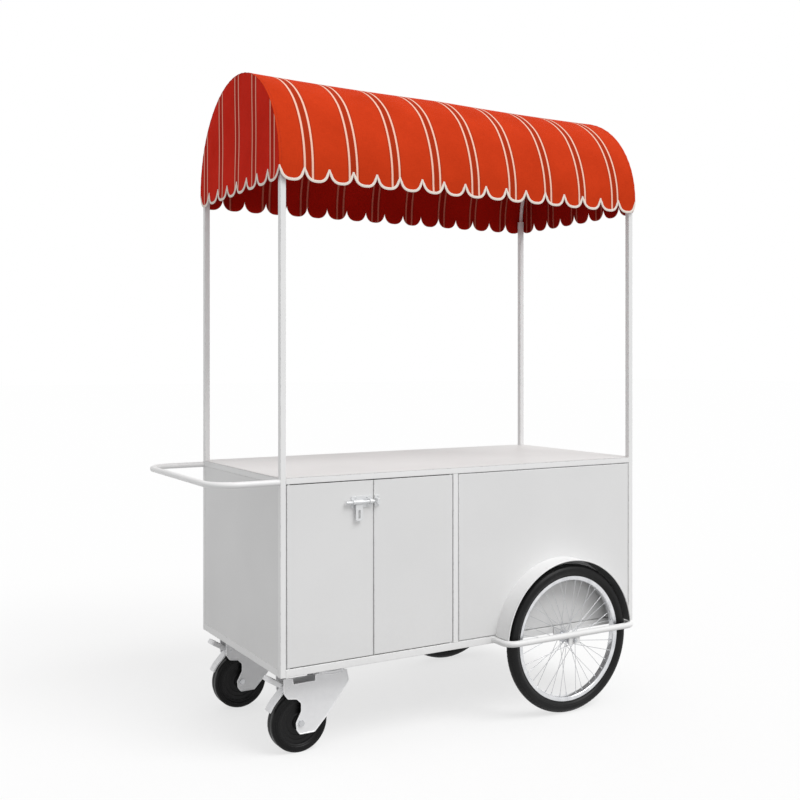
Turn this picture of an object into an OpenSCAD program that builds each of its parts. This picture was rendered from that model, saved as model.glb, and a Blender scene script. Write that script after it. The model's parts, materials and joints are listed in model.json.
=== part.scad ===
// Coffee cart: a box cabinet with a counter, on two spoke wheels and two braked casters, under a canopy.
// Millimetres, +Z up, X along the cart with the push handle at -X, the doors face -Y.
// The origin is on the floor, at the middle of the overall length and depth.

/* [Cabinet] */
// Length of the cabinet
body_l = 1500; // [1400:10:1700]
// Depth of the cabinet from front to back
body_w = 720; // [660:10:800]
// Height of the cabinet from its underside to the counter
body_h = 640; // [560:10:720]
// Height from the counter to the eaves of the canopy
serve_h = 1002; // [850:10:1100]
// Side of the square posts and rails
tube = 20; // [18:1:24]
// Wall of the square tubes
tube_wall = 1.5; // [1:0.1:2.5]
// Height of the bottom rails
base_h = 25; // [22:1:32]
// Thickness of the counter sheet
counter_t = 2; // [1:0.5:4]
// Thickness of the end and back panels
panel_t = 2; // [1:0.5:3]
// Thickness of the floor panel
floor_t = 2; // [1:0.5:2.5]
// How far the end panels sit behind the faces of the posts
panel_recess = 1; // [0.5:0.5:3]

/* [Doors] */
// Clear length of the doorway, from the left post to the stile
doorway_l = 640; // [500:10:760]
// Shadow gap around the doors and the front panel
door_gap = 3; // [2.5:0.1:4]
// Depth of the folded edges of the doors and the front panel
door_depth = 12; // [10:1:14]
// Thickness of the door sheet
door_t = 1.5; // [1:0.1:2.5]
// Diameter of the pivot pins
pivot_d = 6; // [4:0.5:7]
// Length of a pivot pin inside the door
pivot_in_l = 14; // [10:1:20]

/* [Bolt] */
// Height of the bolt below the counter
bolt_down = 94; // [70:1:160]
// Diameter of the bolt rod
rod_d = 10; // [8:1:12]
// Length of the bolt rod
rod_l = 106; // [100:1:120]
// Travel of the bolt into its keeper
bolt_throw = 25; // [22:1:30]
// Height of the bolt plate and of the keeper plate
bolt_plate_h = 38; // [36:1:50]
// Thickness of the bolt plate
bolt_plate_t = 2.5; // [1.5:0.1:4]
// Width of a guide strap
guide_l = 10; // [6:1:12]
// Width of the hasp
hasp_w = 26; // [20:1:30]
// Length of the hasp below the rod
hasp_l = 62; // [40:1:80]
// Thickness of the hasp
hasp_t = 3; // [2:0.5:5]

/* [Push handle] */
// Reach of the handle from the cabinet to the middle of its grip
handle_reach = 220; // [180:5:300]
// Diameter of the handle tube
handle_d = 20; // [16:1:22]
// Bend radius of the handle
handle_bend = 90; // [40:5:150]
// Height of the handle's middle below the counter
handle_down = 15; // [14:1:60]

/* [Spoke wheels] */
// Outer radius of the tyres
wheel_r = 272; // [250:1:300]
// Width of the tyres
tyre_w = 44; // [40:1:48]
// Thickness of the tyre wall
tyre_wall = 4; // [3:0.5:6]
// Width of the rims
rim_w = 30; // [26:1:34]
// Depth of the rims
rim_h = 16; // [12:1:20]
// Wall of the rims
rim_wall = 3; // [2:0.5:4]
// Number of spokes in a wheel
spoke_count = 36; // [28, 32, 36, 40]
// Diameter of a spoke
spoke_d = 2; // [1.6:0.1:2.6]
// Radius of the hub flanges
flange_r = 22; // [19:1:28]
// Radius of the hub between the flanges
barrel_r = 14; // [13:1:15]
// Distance between the hub flanges
flange_gap = 40; // [34:1:44]
// Thickness of a hub flange
flange_t = 3; // [2:0.5:4]
// Outer radius of a hub bearing
bearing_r = 11; // [9:0.5:12]
// Width of a hub bearing
bearing_w = 9; // [6:1:12]
// Diameter of the wheel axles
axle_d = 10; // [8:1:12]
// Distance of the wheel axles from the right end of the cabinet
axle_in = 370; // [340:5:500]
// Depth of the wheel axles below the underside of the cabinet
axle_drop = 8; // [8:0.5:14]
// Gap between the cabinet and a tyre
wheel_gap = 28; // [22:1:40]

/* [Fenders and guards] */
// Gap between a tyre and its fender
fender_gap = 16; // [10:1:24]
// Thickness of a fender
fender_t = 2; // [1:0.5:3]
// Diameter of the guard tubes
guard_d = 22; // [18:1:24]
// Gap between a tyre and its guard
guard_gap = 7; // [5:1:14]
// Bend radius of the guards
guard_bend = 40; // [24:2:48]
// Length of an axle bracket along the cart
bracket_l = 50; // [40:1:80]
// Thickness of an axle bracket
bracket_t = 4; // [3:0.5:5]
// Width across the flats of an axle nut
nut_af = 15; // [14:0.5:15]
// Thickness of an axle nut
nut_h = 7; // [5:0.5:9]

/* [Casters] */
// Radius of the caster wheels
caster_r = 100; // [80:1:105]
// Width of the caster wheels
caster_w = 46; // [36:1:52]
// Thickness of the rubber tread of a caster wheel
tread_t = 22; // [14:1:28]
// Distance of the swivel axes from the left end of the cabinet
caster_x_in = 215; // [190:5:320]
// Distance of the swivel axes from the front and back faces
caster_y_in = 100; // [90:2:120]
// Trail of a caster wheel behind its swivel axis
trail = 110; // [90:2:120]
// Thickness of the fork plates
fork_t = 4; // [3:0.5:5]
// Gap between a caster wheel and its fork
fork_gap = 4; // [3:0.5:6]
// Length of a caster's top plate
plate_l = 140; // [130:2:160]
// Width of a caster's top plate
plate_w = 112; // [100:2:130]
// Thickness of a caster's top plate
plate_t = 5; // [4:0.5:8]
// Radius of the swivel race
race_r = 58; // [50:1:62]
// Height of the fixed half of the race
race_h = 12; // [8:1:16]
// Height of the turning half of the race
dish_h = 10; // [6:1:14]
// Diameter of the kingpin
kingpin_d = 16; // [12:1:20]
// Diameter of a caster's axle bolt
caster_axle_d = 12; // [10:1:16]
// Distance between the two cross rails over the casters
cross_gap = 100; // [96:2:110]
// Distance between a plate's bolts across the cart
plate_bolt_gap = 80; // [70:2:86]
// Diameter of the plate bolts
plate_bolt_d = 8; // [6:1:10]
// Width of a brake pedal
pedal_w = 40; // [24:1:44]
// Thickness of a pedal's arms
pedal_t = 5; // [3:0.5:7]
// Diameter of a pedal's pivot pin
pedal_pin_d = 8; // [6:0.5:10]
// Gap between a caster wheel and its brake shoe
shoe_gap = 13; // [12:0.5:16]

/* [Canopy] */
// Clearance between the posts and the cover
cover_gap = 6; // [4:0.5:10]
// Thickness of the cover
cover_t = 1.5; // [1:0.1:3]
// Diameter of the hoops and purlins
hoop_d = 16; // [12:1:20]
// Scallops along the front
scallops_long = 17; // [9:1:25]
// Scallops along an end
scallops_end = 8; // [4:1:14]
// Plain height of the valance above its scallops
valance_h = 6; // [2:1:40]
// Depth of the scallops
scallop_h = 41; // [20:1:60]

/* [Hidden] */
$fn = 64;

// Clearances and the overrun of cuts
over = 1;
run_fit = 0.05;
run_gap = 0.3;
loose_fit = 0.5;

// Frame: the middle of the cabinet lies right of the origin, by half of what the handle reaches past the
// canopy
mid_x = (handle_reach + handle_d / 2 - cover_gap - cover_t) / 2;
left_x = mid_x - body_l / 2;
right_x = mid_x + body_l / 2;
face_y = -body_w / 2;
base_z = wheel_r + axle_drop;
base_top = base_z + base_h;
counter_z = base_z + body_h;
rail_z = counter_z - counter_t - tube;
eave_z = counter_z + serve_h;
clear_l = body_l - 2 * tube;
clear_w = body_w - 2 * tube;
stile_x = left_x + tube + doorway_l;

// Doors: the pivot sits where the corner of the turning door clears the post by the spare gap
door_spare = 1;
pivot_room = door_gap - door_spare;
pivot_in = (pow(door_depth / 2, 2) - pow(pivot_room, 2)) / (2 * pivot_room);
pivot_block_h = pivot_in_l + 4 * door_t;
pivot_y = face_y + door_depth / 2;
door_w = (doorway_l - 3 * door_gap) / 2;
door_z = base_top + door_gap;
door_h = rail_z - door_gap - door_z;
door_left_x = left_x + tube + door_gap;
door_right_x = stile_x - door_gap;
pivot_collar_share = 1.7;
panel_flange_t = door_t;
floor_in = door_depth + floor_t;

// Bolt: the plate ends short of the left door's free edge, and the rod rests just inside that edge
bolt_edge = 8.5;
rod_edge = 1.5;
keeper_edge = 1.5;
guide_inset = 2;
guide_wall = 3;
guide_r = rod_d / 2 + guide_wall;
keeper_fit = 1.5;
keeper_half = rod_d / 2 + keeper_fit;
strap_t = 2;
bolt_z = counter_z - bolt_down;
free_x = door_left_x + door_w;
bolt_plate_l = 2 * (guide_inset + guide_l + loose_fit) + hasp_w + bolt_throw;
bolt_plate_x = free_x - bolt_edge - bolt_plate_l;
rod_y = face_y - bolt_plate_t - run_gap - hasp_t - rod_d / 2;
keeper_x = free_x + door_gap + keeper_edge;
keeper_l = guide_l + 4 * guide_inset;
hasp_x = bolt_plate_x + guide_inset + guide_l + loose_fit;
hasp_slot_share = [0.3, 0.45];
screw_d = 7;
screw_h = 2;
screw_inset = 5;

// Spoke wheels
axle_x = right_x - axle_in;
axle_z = wheel_r;
wheel_y = face_y - wheel_gap - tyre_w / 2;
seat_r = wheel_r - tyre_w / 2 - sqrt(pow(tyre_w / 2, 2) - pow(rim_w / 2, 2));
rim_r = seat_r - rim_h;
hub_end = flange_gap / 2 + flange_t + bearing_w / 2;
spoke_root_share = 0.84;
spoke_cross = 60;
spacer_share = 1.5;
bore_share = 1.3;
guard_y = wheel_y - tyre_w / 2 - guard_gap - guard_d / 2;
guard_z = base_z + base_h / 2;
fender_r = wheel_r + fender_gap;
fender_front_y = guard_y + guard_d / 2 + fender_t / 2;
guard_half = fender_r + fender_t + guard_d / 4;
guard_wall = tube_wall;
bracket_drop = axle_d + bracket_t;
bracket_in_y = face_y - bracket_t;
bracket_out_y = guard_y - bracket_t / 2;
axle_over = 4;

// Casters, in front: the swivel axis, with the wheel behind it towards the handle
swivel_x = left_x + caster_x_in;
swivel_y = face_y + caster_y_in;
caster_x = swivel_x - trail;
race_z = base_z - plate_t - race_h;
dish_z = race_z - run_gap - dish_h;
fork_z = dish_z - fork_t;
fork_h = fork_z + fork_t - caster_r;
fork_in = caster_w / 2 + fork_gap;
fork_top_half = race_r - fork_t;
fork_shares = [[-0.56, 1], [-0.56, 0.7], [-0.43, 0.57], [-0.14, 0.54], [0.01, 0.43], [0.01, 0.25],
    [-0.16, 0.02], [-0.14, -0.13], [-0.04, -0.23], [0.44, -0.23], [0.85, 0.07], [1.6, 0.76], [1.52, 1],
    [0.48, 1], [0.48, 0.86], [-0.26, 0.86], [-0.3, 1]];
kingpin_head_h = 6;
kingpin_head_share = 0.9;
plate_bolt_head_h = 5;
plate_bolt_head_share = 0.8;
plate_bolt_up = 6;
plate_bolt_clear = norm([cross_gap, plate_bolt_gap]) / 2 - plate_bolt_d * plate_bolt_head_share - run_gap;
caster_nut_h = 6;
caster_nut_share = 0.9;
tread_round = 6;
core_web_share = 0.45;
core_boss_share = 0.24;
pedal_pin_shares = [-0.4, 0.8];
pedal_toe_shares = [-0.98, 1.05];
shoe_from = 142;
shoe_to = 156;
pedal_boss_share = 1.1;

// Canopy
cover_x = body_l / 2 + cover_gap;
cover_r = body_w / 2 + cover_gap;
hoop_r = cover_r - run_gap - hoop_d / 2;
hoop_x = cover_x - run_gap - hoop_d / 2;
purlin_angle = 40;
purlin_l = 2 * hoop_x - hoop_d;
ridge_z = eave_z + hoop_r - hoop_d - run_gap;
scallop_steps = 12;
scallop_flat = 2.6;

// A point at a radius and an angle, and the same at a height
function polar(r, angle) = [r * cos(angle), r * sin(angle)];
function around(r, angle, z) = [r * cos(angle), r * sin(angle), z];

// A box between two corners
module corner_box(low, high) translate(low) cube(high - low);

// A square tube around its middle, open along one axis
module rail(size, axis) difference() {
    cube(size, center = true);
    cube([for (i = [0:2]) i == axis ? size[i] + over : size[i] - 2 * tube_wall], center = true);
}

// The front item as drawn, or its mirror image at the back
module at_side(side) {
    if (side == "back") mirror([0, 1, 0]) children();
    else children();
}

// An outline drawn in X and Z, given a thickness along Y around its middle
module upright(thick) rotate([90, 0, 0]) linear_extrude(height = thick, center = true) children();

// A round bar along Y between two places
module bar_y(d, y0, y1) translate([0, y0, 0]) rotate([-90, 0, 0]) cylinder(d = d, h = y1 - y0);

// A round bar along X between two places
module bar_x(d, x0, x1) translate([x0, 0, 0]) rotate([0, 90, 0]) cylinder(d = d, h = x1 - x0);

// A flat bar in a plane, from one point to another
module flat_bar(p, q, thick) translate(p) rotate(atan2(q.y - p.y, q.x - p.x))
    translate([0, -thick / 2]) square([norm(q - p), thick]);

// A rectangle with round corners, around its middle
module round_rect(w, h, r) {
    square([w - 2 * r, h], center = true);
    square([w, h - 2 * r], center = true);
    for (sx = [-1, 1], sy = [-1, 1]) translate([sx * (w / 2 - r), sy * (h / 2 - r)]) circle(r);
}

// A tube bent to a U in the XY plane: two legs along +X that end at x = 0, and a bar across at x = -reach
module bent_bar(reach, half, bend, d, past) {
    for (s = [-1, 1]) {
        translate([0, s * half, 0]) bar_x(d, bend - reach, past);
        translate([bend - reach, s * (half - bend), 0]) rotate(s > 0 ? 90 : 180)
            rotate_extrude(angle = 90) translate([bend, 0]) circle(d = d);
    }
    translate([-reach, 0, 0]) bar_y(d, bend - half, half - bend);
}
module bent_tube(reach, half, bend, d, wall) difference() {
    bent_bar(reach, half, bend, d, 0);
    bent_bar(reach, half, bend, d - 2 * wall, over);
}

// Cabinet frame
module posts() color("whitesmoke")
    for (sx = [-1, 1], sy = [-1, 1])
        translate([mid_x + sx * (body_l - tube) / 2, sy * (body_w - tube) / 2, (base_z + eave_z) / 2])
            rail([tube, tube, eave_z - base_z], 2);

module base_rails() color("whitesmoke")
    for (s = [-1, 1])
        translate([mid_x, s * (body_w - tube) / 2, base_z + base_h / 2]) rail([clear_l, tube, base_h], 0);

module base_end_rails() color("whitesmoke")
    for (s = [-1, 1])
        translate([mid_x + s * (body_l - tube) / 2, 0, base_z + base_h / 2]) rail([tube, clear_w, base_h], 1);

module caster_cross_rails() color("whitesmoke") difference() {
    for (s = [-1, 1])
        translate([swivel_x + s * cross_gap / 2, 0, base_z + base_h / 2]) rail([tube, clear_w, base_h], 1);
    for (side = ["front", "back"]) at_side(side) plate_bolt_places()
        translate([0, 0, -over]) cylinder(d = plate_bolt_d + 2 * run_fit, h = tube_wall + 2 * over);
}

module counter_rails() color("whitesmoke")
    for (s = [-1, 1])
        translate([mid_x, s * (body_w - tube) / 2, rail_z + tube / 2]) rail([clear_l, tube, tube], 0);

module counter_end_rails() color("whitesmoke")
    for (s = [-1, 1])
        translate([mid_x + s * (body_l - tube) / 2, 0, rail_z + tube / 2]) rail([tube, clear_w, tube], 1);

module door_stile() color("whitesmoke")
    translate([stile_x + tube / 2, face_y + tube / 2, (base_top + rail_z) / 2])
        rail([tube, tube, rail_z - base_top], 2);

// The room that the four posts take, with a clearance
module post_room(z0, z1) for (sx = [-1, 1], sy = [-1, 1])
    translate([mid_x + sx * (body_l - tube) / 2, sy * (body_w - tube) / 2, (z0 + z1) / 2])
        cube([tube + 2 * loose_fit, tube + 2 * loose_fit, z1 - z0 + 2 * over], center = true);

module floor_panel() color("gainsboro") difference() {
    corner_box([left_x + floor_in, face_y + floor_in, base_top],
        [right_x - floor_in, -face_y - floor_in, base_top + floor_t]);
    post_room(base_top, base_top + floor_t);
    corner_box([stile_x - loose_fit, face_y, base_top - over],
        [stile_x + tube + loose_fit, face_y + tube + loose_fit, base_top + floor_t + over]);
}

module counter_top() color("gainsboro") difference() {
    corner_box([left_x, face_y, counter_z - counter_t], [right_x, -face_y, counter_z]);
    post_room(counter_z - counter_t, counter_z);
}

module end_panels() color("silver")
    for (s = [-1, 1])
        translate([mid_x + s * (body_l / 2 - panel_recess - panel_t / 2), 0, (base_top + rail_z) / 2])
            cube([panel_t, clear_w, rail_z - base_top], center = true);

module back_panel() color("gainsboro")
    translate([mid_x, -face_y - panel_t / 2, (base_top + rail_z) / 2])
        cube([clear_l, panel_t, rail_z - base_top], center = true);

// The fixed front panel: a pan with a shadow gap around it, held by a flange behind that meets the frame
module front_panel() color("gainsboro") difference() {
    union() {
        corner_box([stile_x + tube + door_gap, face_y, door_z],
            [right_x - tube - door_gap, face_y + door_depth, door_z + door_h]);
        corner_box([stile_x + tube, face_y + door_depth - panel_flange_t, base_top],
            [right_x - tube, face_y + door_depth, rail_z]);
    }
    corner_box([stile_x + tube + door_gap + door_t, face_y + door_t, door_z + door_t],
        [right_x - tube - door_gap - door_t, face_y + door_depth + over, door_z + door_h - door_t]);
}

module push_handle() color("whitesmoke")
    translate([left_x, 0, counter_z - handle_down])
        bent_tube(handle_reach, (body_w - tube) / 2, handle_bend, handle_d, tube_wall);

// Doors: a folded tray with a drilled block at each end of its hinge edge
module door_tray() difference() {
    union() {
        difference() {
            cube([door_w, door_depth, door_h]);
            translate([door_t, door_t, door_t]) cube([door_w - 2 * door_t, door_depth, door_h - 2 * door_t]);
        }
        for (z = [0, door_h - pivot_block_h])
            translate([0, 0, z]) cube([2 * pivot_in, door_depth, pivot_block_h]);
    }
    for (z = [-over, door_h - pivot_in_l - run_gap])
        translate([pivot_in, door_depth / 2, z])
            cylinder(d = pivot_d + 2 * run_fit, h = pivot_in_l + run_gap + over);
}
module door_left() color("gainsboro") translate([door_left_x, face_y, door_z]) door_tray();
module door_right() color("gainsboro") translate([door_right_x, face_y, door_z])
    mirror([1, 0, 0]) door_tray();

module door_pivot_pins() color("silver")
    for (x = [door_left_x + pivot_in, door_right_x - pivot_in]) translate([x, pivot_y, 0]) {
        translate([0, 0, base_top]) {
            cylinder(d = pivot_d, h = door_gap + pivot_in_l);
            cylinder(d = min(pivot_d * pivot_collar_share, door_depth), h = door_gap - run_gap);
        }
        translate([0, 0, rail_z - door_gap - pivot_in_l]) cylinder(d = pivot_d, h = door_gap + pivot_in_l);
    }

// Bolt: guides with a round hole for the rod, standing on a plate
module guide(x) translate([x, 0, bolt_z]) difference() {
    union() {
        corner_box([0, rod_y, -guide_r], [guide_l, face_y - bolt_plate_t, guide_r]);
        translate([0, rod_y, 0]) bar_x(2 * guide_r, 0, guide_l);
    }
    translate([0, rod_y, 0]) bar_x(rod_d + 2 * run_fit, -over, guide_l + over);
}
module latch_plate(x, l) corner_box([x, face_y - bolt_plate_t, bolt_z - bolt_plate_h / 2],
    [x + l, face_y, bolt_z + bolt_plate_h / 2]);

module bolt_plate() color("silver") {
    latch_plate(bolt_plate_x, bolt_plate_l);
    guide(bolt_plate_x + guide_inset);
    guide(bolt_plate_x + bolt_plate_l - guide_inset - guide_l);
}

module bolt_rod() color("silver")
    translate([free_x - rod_edge - rod_l, rod_y, bolt_z]) bar_x(rod_d, 0, rod_l);

module bolt_hasp() color("silver") translate([hasp_x, rod_y, bolt_z]) difference() {
    union() {
        bar_x(rod_d + 2 * hasp_t, 0, hasp_w);
        translate([hasp_w / 2, 0, -hasp_l / 2]) upright(hasp_t) round_rect(hasp_w, hasp_l, hasp_w / 4);
    }
    bar_x(rod_d + 2 * run_fit, -over, hasp_w + over);
    translate([hasp_w / 2, 0, -hasp_l / 2 - hasp_l * hasp_slot_share.x / 2]) upright(hasp_t + 2 * over)
        square([hasp_w * hasp_slot_share.x, hasp_l * hasp_slot_share.y], center = true);
}

// The keeper: a flat strap bent square around the end of the rod
module bolt_keeper() color("silver") {
    latch_plate(keeper_x, keeper_l);
    translate([keeper_x + guide_inset, rod_y, bolt_z]) difference() {
        corner_box([0, -keeper_half - strap_t, -keeper_half - strap_t],
            [guide_l, face_y - bolt_plate_t - rod_y, keeper_half + strap_t]);
        corner_box([-over, -keeper_half, -keeper_half],
            [guide_l + over, face_y - bolt_plate_t - rod_y + over, keeper_half]);
    }
}

// Round screw heads on a latch plate
module screws(xs) for (x = xs, s = [-1, 1])
    translate([x, face_y - bolt_plate_t, bolt_z + s * (bolt_plate_h / 2 - screw_inset)]) rotate([90, 0, 0])
        cylinder(d = screw_d, h = screw_h);
module bolt_screws() color("silver")
    screws([bolt_plate_x + guide_inset + guide_l + screw_inset,
        bolt_plate_x + bolt_plate_l - guide_inset - guide_l - screw_inset]);
module keeper_screws() color("silver") screws([keeper_x + keeper_l - screw_inset]);

// Spoke wheels: everything turns around an axle along Y
module at_axle(side) at_side(side) translate([axle_x, 0, axle_z]) children();
module at_wheel(side) at_axle(side) translate([0, wheel_y, 0]) rotate([90, 0, 0]) children();

module tyre(side) color("#202020") at_wheel(side) rotate_extrude() difference() {
    translate([wheel_r - tyre_w / 2, 0]) circle(d = tyre_w);
    intersection() {
        translate([wheel_r - tyre_w / 2, 0]) circle(d = tyre_w - 2 * tyre_wall);
        translate([seat_r + tyre_wall, -tyre_w / 2]) square([tyre_w, tyre_w]);
    }
    translate([0, -tyre_w / 2]) square([seat_r, tyre_w]);
}

module rim(side) color("lightgray") at_wheel(side) rotate_extrude() difference() {
    translate([rim_r, -rim_w / 2]) square([rim_h, rim_w]);
    translate([rim_r + rim_wall, rim_wall - rim_w / 2]) square([rim_h, rim_w - 2 * rim_wall]);
}

// A straight spoke between two points
module spoke(p, q) translate(p)
    rotate([0, acos((q.z - p.z) / norm(q - p)), atan2(q.y - p.y, q.x - p.x)])
        cylinder(d = spoke_d, h = norm(q - p));

module spokes(side) color("silver") at_wheel(side)
    for (i = [0:spoke_count - 1]) {
        flange = i % 2 == 0 ? 1 : -1;
        lead = floor(i / 2) % 2 == 0 ? 1 : -1;
        angle = i * 360 / spoke_count;
        root_z = flange * (flange_gap / 2 + flange_t / 2) + lead * (flange_t + spoke_d) / 2;
        spoke(around(flange_r * spoke_root_share, angle + lead * spoke_cross, root_z),
            around(rim_r + rim_wall / 2, angle, flange * rim_wall));
    }

module hub(side) color("silver") at_wheel(side) difference() {
    union() {
        cylinder(r = barrel_r, h = 2 * hub_end, center = true);
        for (s = [-1, 1])
            translate([0, 0, s * (flange_gap + flange_t) / 2])
                cylinder(r = flange_r, h = flange_t, center = true);
    }
    cylinder(d = axle_d * bore_share, h = 2 * hub_end + over, center = true);
    for (s = [-1, 1])
        translate([0, 0, s * (hub_end - bearing_w / 2 + over / 2)])
            cylinder(r = bearing_r, h = bearing_w + over, center = true);
}

module hub_bearings(side) color("gray") at_wheel(side)
    for (s = [-1, 1])
        translate([0, 0, s * (hub_end - bearing_w / 2)]) difference() {
            cylinder(r = bearing_r, h = bearing_w, center = true);
            cylinder(d = axle_d + 2 * run_fit, h = bearing_w + over, center = true);
        }

module wheel_axles() color("gray") for (side = ["front", "back"]) at_axle(side) {
    bar_y(axle_d, bracket_out_y - nut_h - axle_over, bracket_in_y + bracket_t + nut_h + axle_over);
    bar_y(axle_d * spacer_share, bracket_out_y + bracket_t, wheel_y - hub_end - run_gap);
    bar_y(axle_d * spacer_share, wheel_y + hub_end + run_gap, bracket_in_y);
}

module axle_nuts() color("gray") for (side = ["front", "back"]) at_axle(side)
    for (y = [bracket_out_y - nut_h, bracket_in_y + bracket_t]) difference() {
        translate([0, y, 0]) rotate([-90, 0, 0]) cylinder(d = nut_af / cos(30), h = nut_h, $fn = 6);
        bar_y(axle_d + 2 * run_fit, y - over, y + nut_h + over);
    }

// Axle brackets: one on the bottom rail, one under the guard, both drilled for the axle
module axle_brackets() color("whitesmoke") for (side = ["front", "back"]) at_axle(side) difference() {
    union() {
        corner_box([-bracket_l / 2, bracket_in_y, -bracket_drop], [bracket_l / 2, face_y, base_top - axle_z]);
        corner_box([-bracket_l / 2, bracket_out_y, -bracket_drop],
            [bracket_l / 2, bracket_out_y + bracket_t, guard_z - axle_z]);
    }
    bar_y(axle_d + 2 * run_fit, bracket_out_y - over, face_y + over);
    translate([0, guard_y, guard_z - axle_z]) bar_x(guard_d + 2 * run_fit, -bracket_l, bracket_l);
}

module wheel_guard(side) color("whitesmoke") at_side(side) translate([axle_x, face_y, guard_z]) rotate(90)
    bent_tube(face_y - guard_y, guard_half, guard_bend, guard_d, guard_wall);

module fender(side) color("whitesmoke") at_axle(side) intersection() {
    rotate([90, 0, 0]) translate([0, 0, -face_y]) difference() {
        cylinder(r = fender_r + fender_t, h = face_y - fender_front_y);
        translate([0, 0, -over]) cylinder(r = fender_r, h = face_y - fender_front_y + 2 * over);
    }
    corner_box([-fender_r - 2 * fender_t, fender_front_y - over, guard_z + guard_d / 2 - axle_z],
        [fender_r + 2 * fender_t, face_y + over, fender_r + 2 * fender_t]);
}

// Casters
module plate_bolt_places() for (sx = [-1, 1], sy = [-1, 1])
    translate([swivel_x + sx * cross_gap / 2, swivel_y + sy * plate_bolt_gap / 2, base_z]) children();

module caster_plates() color("silver") for (side = ["front", "back"]) at_side(side) difference() {
    translate([swivel_x, swivel_y, 0]) {
        translate([-plate_l / 2, -plate_w / 2, base_z - plate_t]) cube([plate_l, plate_w, plate_t]);
        translate([0, 0, race_z]) cylinder(r = min(race_r, plate_bolt_clear), h = race_h + plate_t / 2);
    }
    plate_bolt_places() translate([0, 0, -plate_t - over])
        cylinder(d = plate_bolt_d + 2 * run_fit, h = plate_t + 2 * over);
    translate([swivel_x, swivel_y, race_z - over]) cylinder(d = kingpin_d, h = race_h + plate_t + 2 * over);
}

module caster_bolts() color("gray") for (side = ["front", "back"]) at_side(side) plate_bolt_places() {
    translate([0, 0, -plate_t]) cylinder(d = plate_bolt_d, h = plate_t + plate_bolt_up);
    translate([0, 0, -plate_t - plate_bolt_head_h])
        cylinder(r = plate_bolt_d * plate_bolt_head_share, h = plate_bolt_head_h, $fn = 6);
}

module caster_kingpins() color("gray") for (side = ["front", "back"]) at_side(side)
    translate([swivel_x, swivel_y, fork_z - run_gap - kingpin_head_h]) {
        cylinder(d = kingpin_d, h = base_z - fork_z + run_gap + kingpin_head_h);
        cylinder(r = kingpin_d * kingpin_head_share, h = kingpin_head_h);
    }

// A place given in shares of the trail and of the fork's height, from the caster wheel's middle
function fork_point(share) = [share.x * trail, share.y * fork_h];
module at_caster(side) at_side(side) translate([caster_x, swivel_y, caster_r]) children();

module caster_fork(side) color("silver") at_caster(side) difference() {
    union() {
        for (s = [-1, 1]) translate([0, s * (fork_in + fork_t / 2), 0])
            upright(fork_t) polygon([for (share = fork_shares) fork_point(share)]);
        corner_box([trail - fork_top_half, -fork_in - fork_t, fork_z - caster_r],
            [trail + fork_top_half, fork_in + fork_t, fork_z + fork_t - caster_r]);
        translate([trail, 0, dish_z - caster_r]) cylinder(r1 = fork_top_half, r2 = race_r, h = dish_h);
    }
    translate([trail, 0, fork_z - caster_r - over])
        cylinder(d = kingpin_d + 2 * run_fit, h = fork_t + dish_h + 2 * over);
    bar_y(caster_axle_d + 2 * run_fit, -fork_in - 2 * fork_t, fork_in + 2 * fork_t);
    pedal_pivot() bar_y(pedal_pin_d + 2 * run_fit, -fork_in - 2 * fork_t, fork_in + 2 * fork_t);
}

module caster_axle(side) color("gray") at_caster(side) {
    bar_y(caster_axle_d, -fork_in - fork_t, fork_in + fork_t);
    for (y = [-fork_in - fork_t - caster_nut_h, fork_in + fork_t]) translate([0, y, 0]) rotate([-90, 0, 0])
        cylinder(r = caster_axle_d * caster_nut_share, h = caster_nut_h, $fn = 6);
}

module caster_tread(side) color("#202020") at_caster(side) rotate([90, 0, 0]) rotate_extrude()
    translate([caster_r - tread_t / 2, 0]) round_rect(tread_t, caster_w, tread_round);

module caster_core(side) color("#303030") at_caster(side) rotate([90, 0, 0]) rotate_extrude() difference() {
    union() {
        translate([0, -caster_w / 2]) square([caster_r * core_boss_share, caster_w]);
        translate([0, -caster_w * core_web_share / 2])
            square([caster_r - tread_t, caster_w * core_web_share]);
    }
    translate([0, -caster_w]) square([caster_axle_d / 2 + run_fit, 2 * caster_w]);
}

// Brake pedal: a toe arm to press on and an arm that carries the shoe, both from one pivot
module pedal_pivot() translate([fork_point(pedal_pin_shares).x, 0, fork_point(pedal_pin_shares).y])
    children();

module pedal_pin(side) color("gray") at_caster(side) pedal_pivot()
    bar_y(pedal_pin_d, -fork_in - fork_t, fork_in + fork_t);

module brake_pedal(side) color("silver") at_caster(side) {
    pivot = fork_point(pedal_pin_shares);
    shoe_r = caster_r + shoe_gap;
    shoe_start = polar(shoe_r + pedal_t / 2, shoe_from);
    upright(pedal_w) difference() {
        union() {
            translate(pivot) circle(r = pedal_pin_d * pedal_boss_share);
            flat_bar(pivot, fork_point(pedal_toe_shares), pedal_t);
            flat_bar(pivot, shoe_start, pedal_t);
            intersection() {
                difference() {
                    circle(r = shoe_r + pedal_t);
                    circle(r = shoe_r);
                }
                polygon([[0, 0], polar(2 * shoe_r, shoe_from), polar(2 * shoe_r, shoe_to)]);
            }
        }
        translate(pivot) circle(d = pedal_pin_d + 2 * run_fit);
    }
}

// Canopy frame: a hoop on each pair of posts, a purlin along each side and under the ridge, and a half hoop
// between the side purlins
module hoop(from) translate([0, 0, eave_z]) rotate([90, 0, 90]) rotate(from)
    rotate_extrude(angle = 180 - 2 * from) translate([hoop_r, 0]) circle(d = hoop_d);
module canopy_hoops() color("whitesmoke") translate([mid_x, 0, 0]) {
    for (s = [-1, 1]) translate([s * hoop_x, 0, 0]) hoop(0);
    hoop(purlin_angle + atan((hoop_d / 2 + run_gap) / hoop_r));
}

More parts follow.
